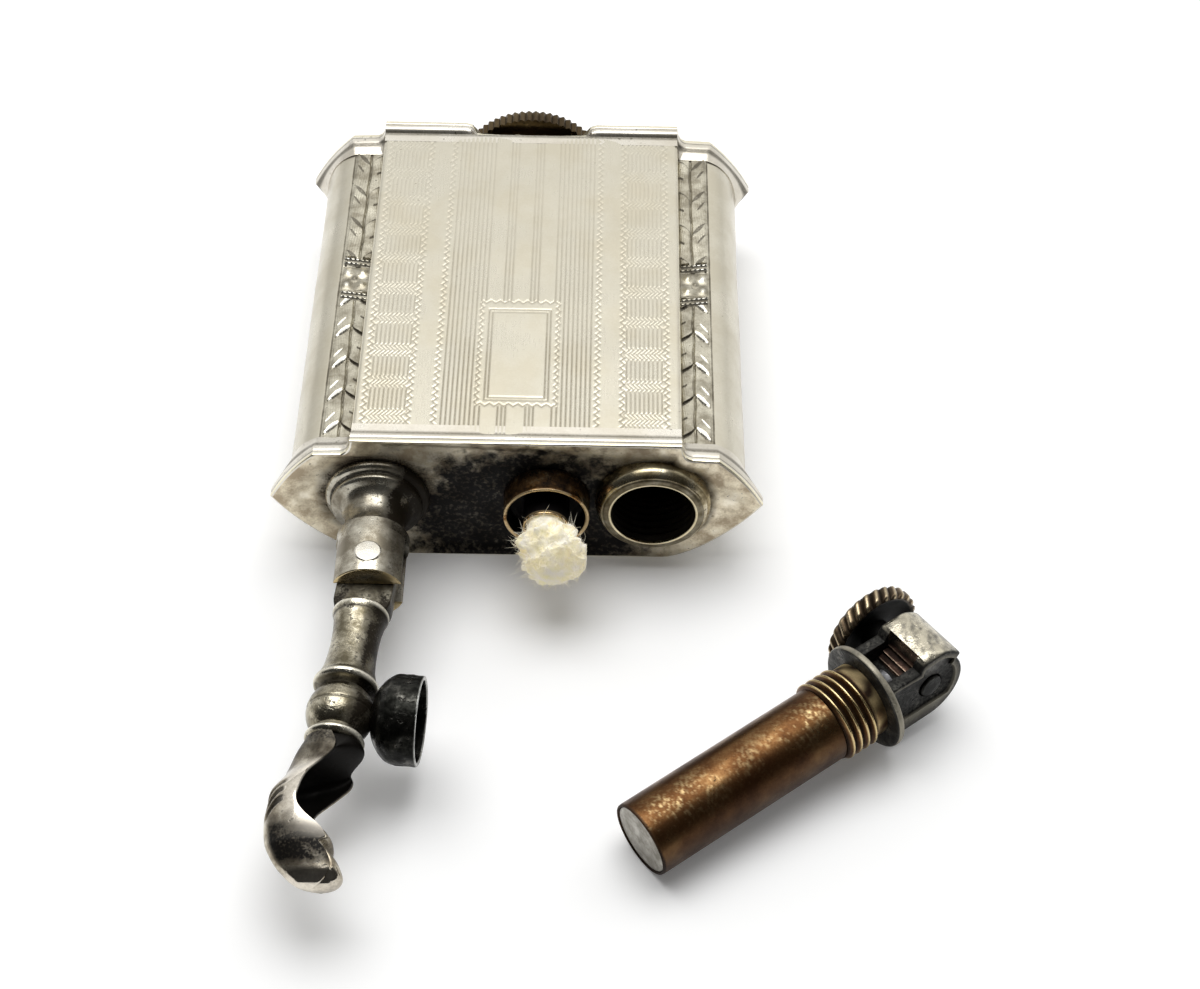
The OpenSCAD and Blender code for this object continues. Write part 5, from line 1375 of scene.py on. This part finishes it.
surface("thumb_wheel_ridged", [on_unit(np.stack(thumb_rows))], "spark_wheel",
        thumb_brass, ["thumb_wheel"],
        marks={"low": [np.stack(thumb_low)], "worn": [np.stack(thumb_worn)]}, sharp=50)

# The axle is a turned steel pin, headed at the near cheek and riveted over in the thumb wheel,
# so that both wheels turn as one.
axle_line = soft([[0, -2.58], [0.9, -2.57], [1.04, -2.48], [1.04, -2.26], [0.8, -2.2],
                  [0.8, 5.85], [0.7, 5.98], [0, 6.0]], 0.06)
axle_grid = turned(axle_line, 64)
axle_grid = np.stack([axle_s + axle_grid[..., 0], axle_grid[..., 2], axle_grid[..., 1]], -1)
surface("wheel_axle_pin", [on_unit(axle_grid)], "spark_wheel", burnt, ["wheel_axle"])

# The flint is a pressed rod of spark metal, and a turned brass plunger pushes it to the wheel.
# Both are out of sight in the tube, and keep their CAD shapes.
inner_brass = metal("inner_brass", (0.20, 0.13, 0.06), (0.38, 0.27, 0.13), (0.52, 0.40, 0.22),
                    (0.05, 0.035, 0.02), (0.70, 0.55, 0.30), rough=(0.3, 0.5), patch=0.5)
flint_grey = metal("flint_grey", (0.10, 0.10, 0.10), (0.18, 0.18, 0.185), (0.28, 0.28, 0.29),
                   (0.05, 0.05, 0.05), (0.4, 0.4, 0.4), rough=(0.5, 0.7), patch=1.0, grain=8.0)
dress("flint", flint_grey)
dress("flint_plunger", inner_brass)

# The spring under them is steel wire wound in ten turns round the plunger's stem. It stands on
# the end plug and shortens when the flint is pushed back.
wire_r, coils, coil_mean, coil_from = 0.18, 10, 1.19, 1.5
wheel_clear, flint_l, plunger_cap, flint_travel = 2.55, 4.5, 0.8, 1.2
coil_l = axle_s - wheel_clear - flint_l - plunger_cap - coil_from
winding = np.linspace(0, 1, 50 * coils + 1)[:, None]
round_wire = np.linspace(0, 2 * np.pi, 11)[None, :]
wire_out = coil_mean + wire_r * np.cos(round_wire)
coil = np.stack([coil_from + coil_l * winding + wire_r * np.sin(round_wire),
                 wire_out * np.cos(2 * np.pi * coils * winding),
                 wire_out * np.sin(2 * np.pi * coils * winding)], -1)
coil = np.concatenate([0 * coil[:1] + coil[:1].mean(1, keepdims=True), coil,
                       0 * coil[-1:] + coil[-1:].mean(1, keepdims=True)])
spring = surface("flint_spring_wound", [on_unit(coil)], "striker_unit", spring_steel,
                 ["flint_spring"])
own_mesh(spring)

# The filler in the base is a brass bush soldered to the plate, an oiled leather washer, and a
# brass screw with a slotted, knurled disc for a coin, its plating gone dark.
leather, tree, put, shader, mm, stain = spotted("oiled_leather", 0.7, 5.0,
                                                (0.35, (0.035, 0.02, 0.012, 1)),
                                                (0.7, (0.15, 0.085, 0.045, 1)))
grain = put("ShaderNodeTexVoronoi", {"Vector": mm, "Scale": 4.0})
rough_leather = put("ShaderNodeMapRange", {0: stain, 3: 0.45, 4: 0.75})
tree.links.new(rough_leather, shader.inputs["Roughness"])
skin = put("ShaderNodeBump", {"Height": grain, "Strength": 0.6, "Distance": 0.00005})
tree.links.new(skin, shader.inputs["Normal"])
dress("filler_washer", leather)
dress("filler_bush", inner_brass)
disc_metal = metal("disc_nickel", (0.042, 0.028, 0.013), (0.068, 0.046, 0.022), (0.11, 0.08, 0.042),
                   dark_low, (0.66, 0.58, 0.42), rough=(0.26, 0.38), patch=0.14, grain=7.0,
                   brushed=(0.4, 6, 6))
dress("filler_screw", disc_metal)
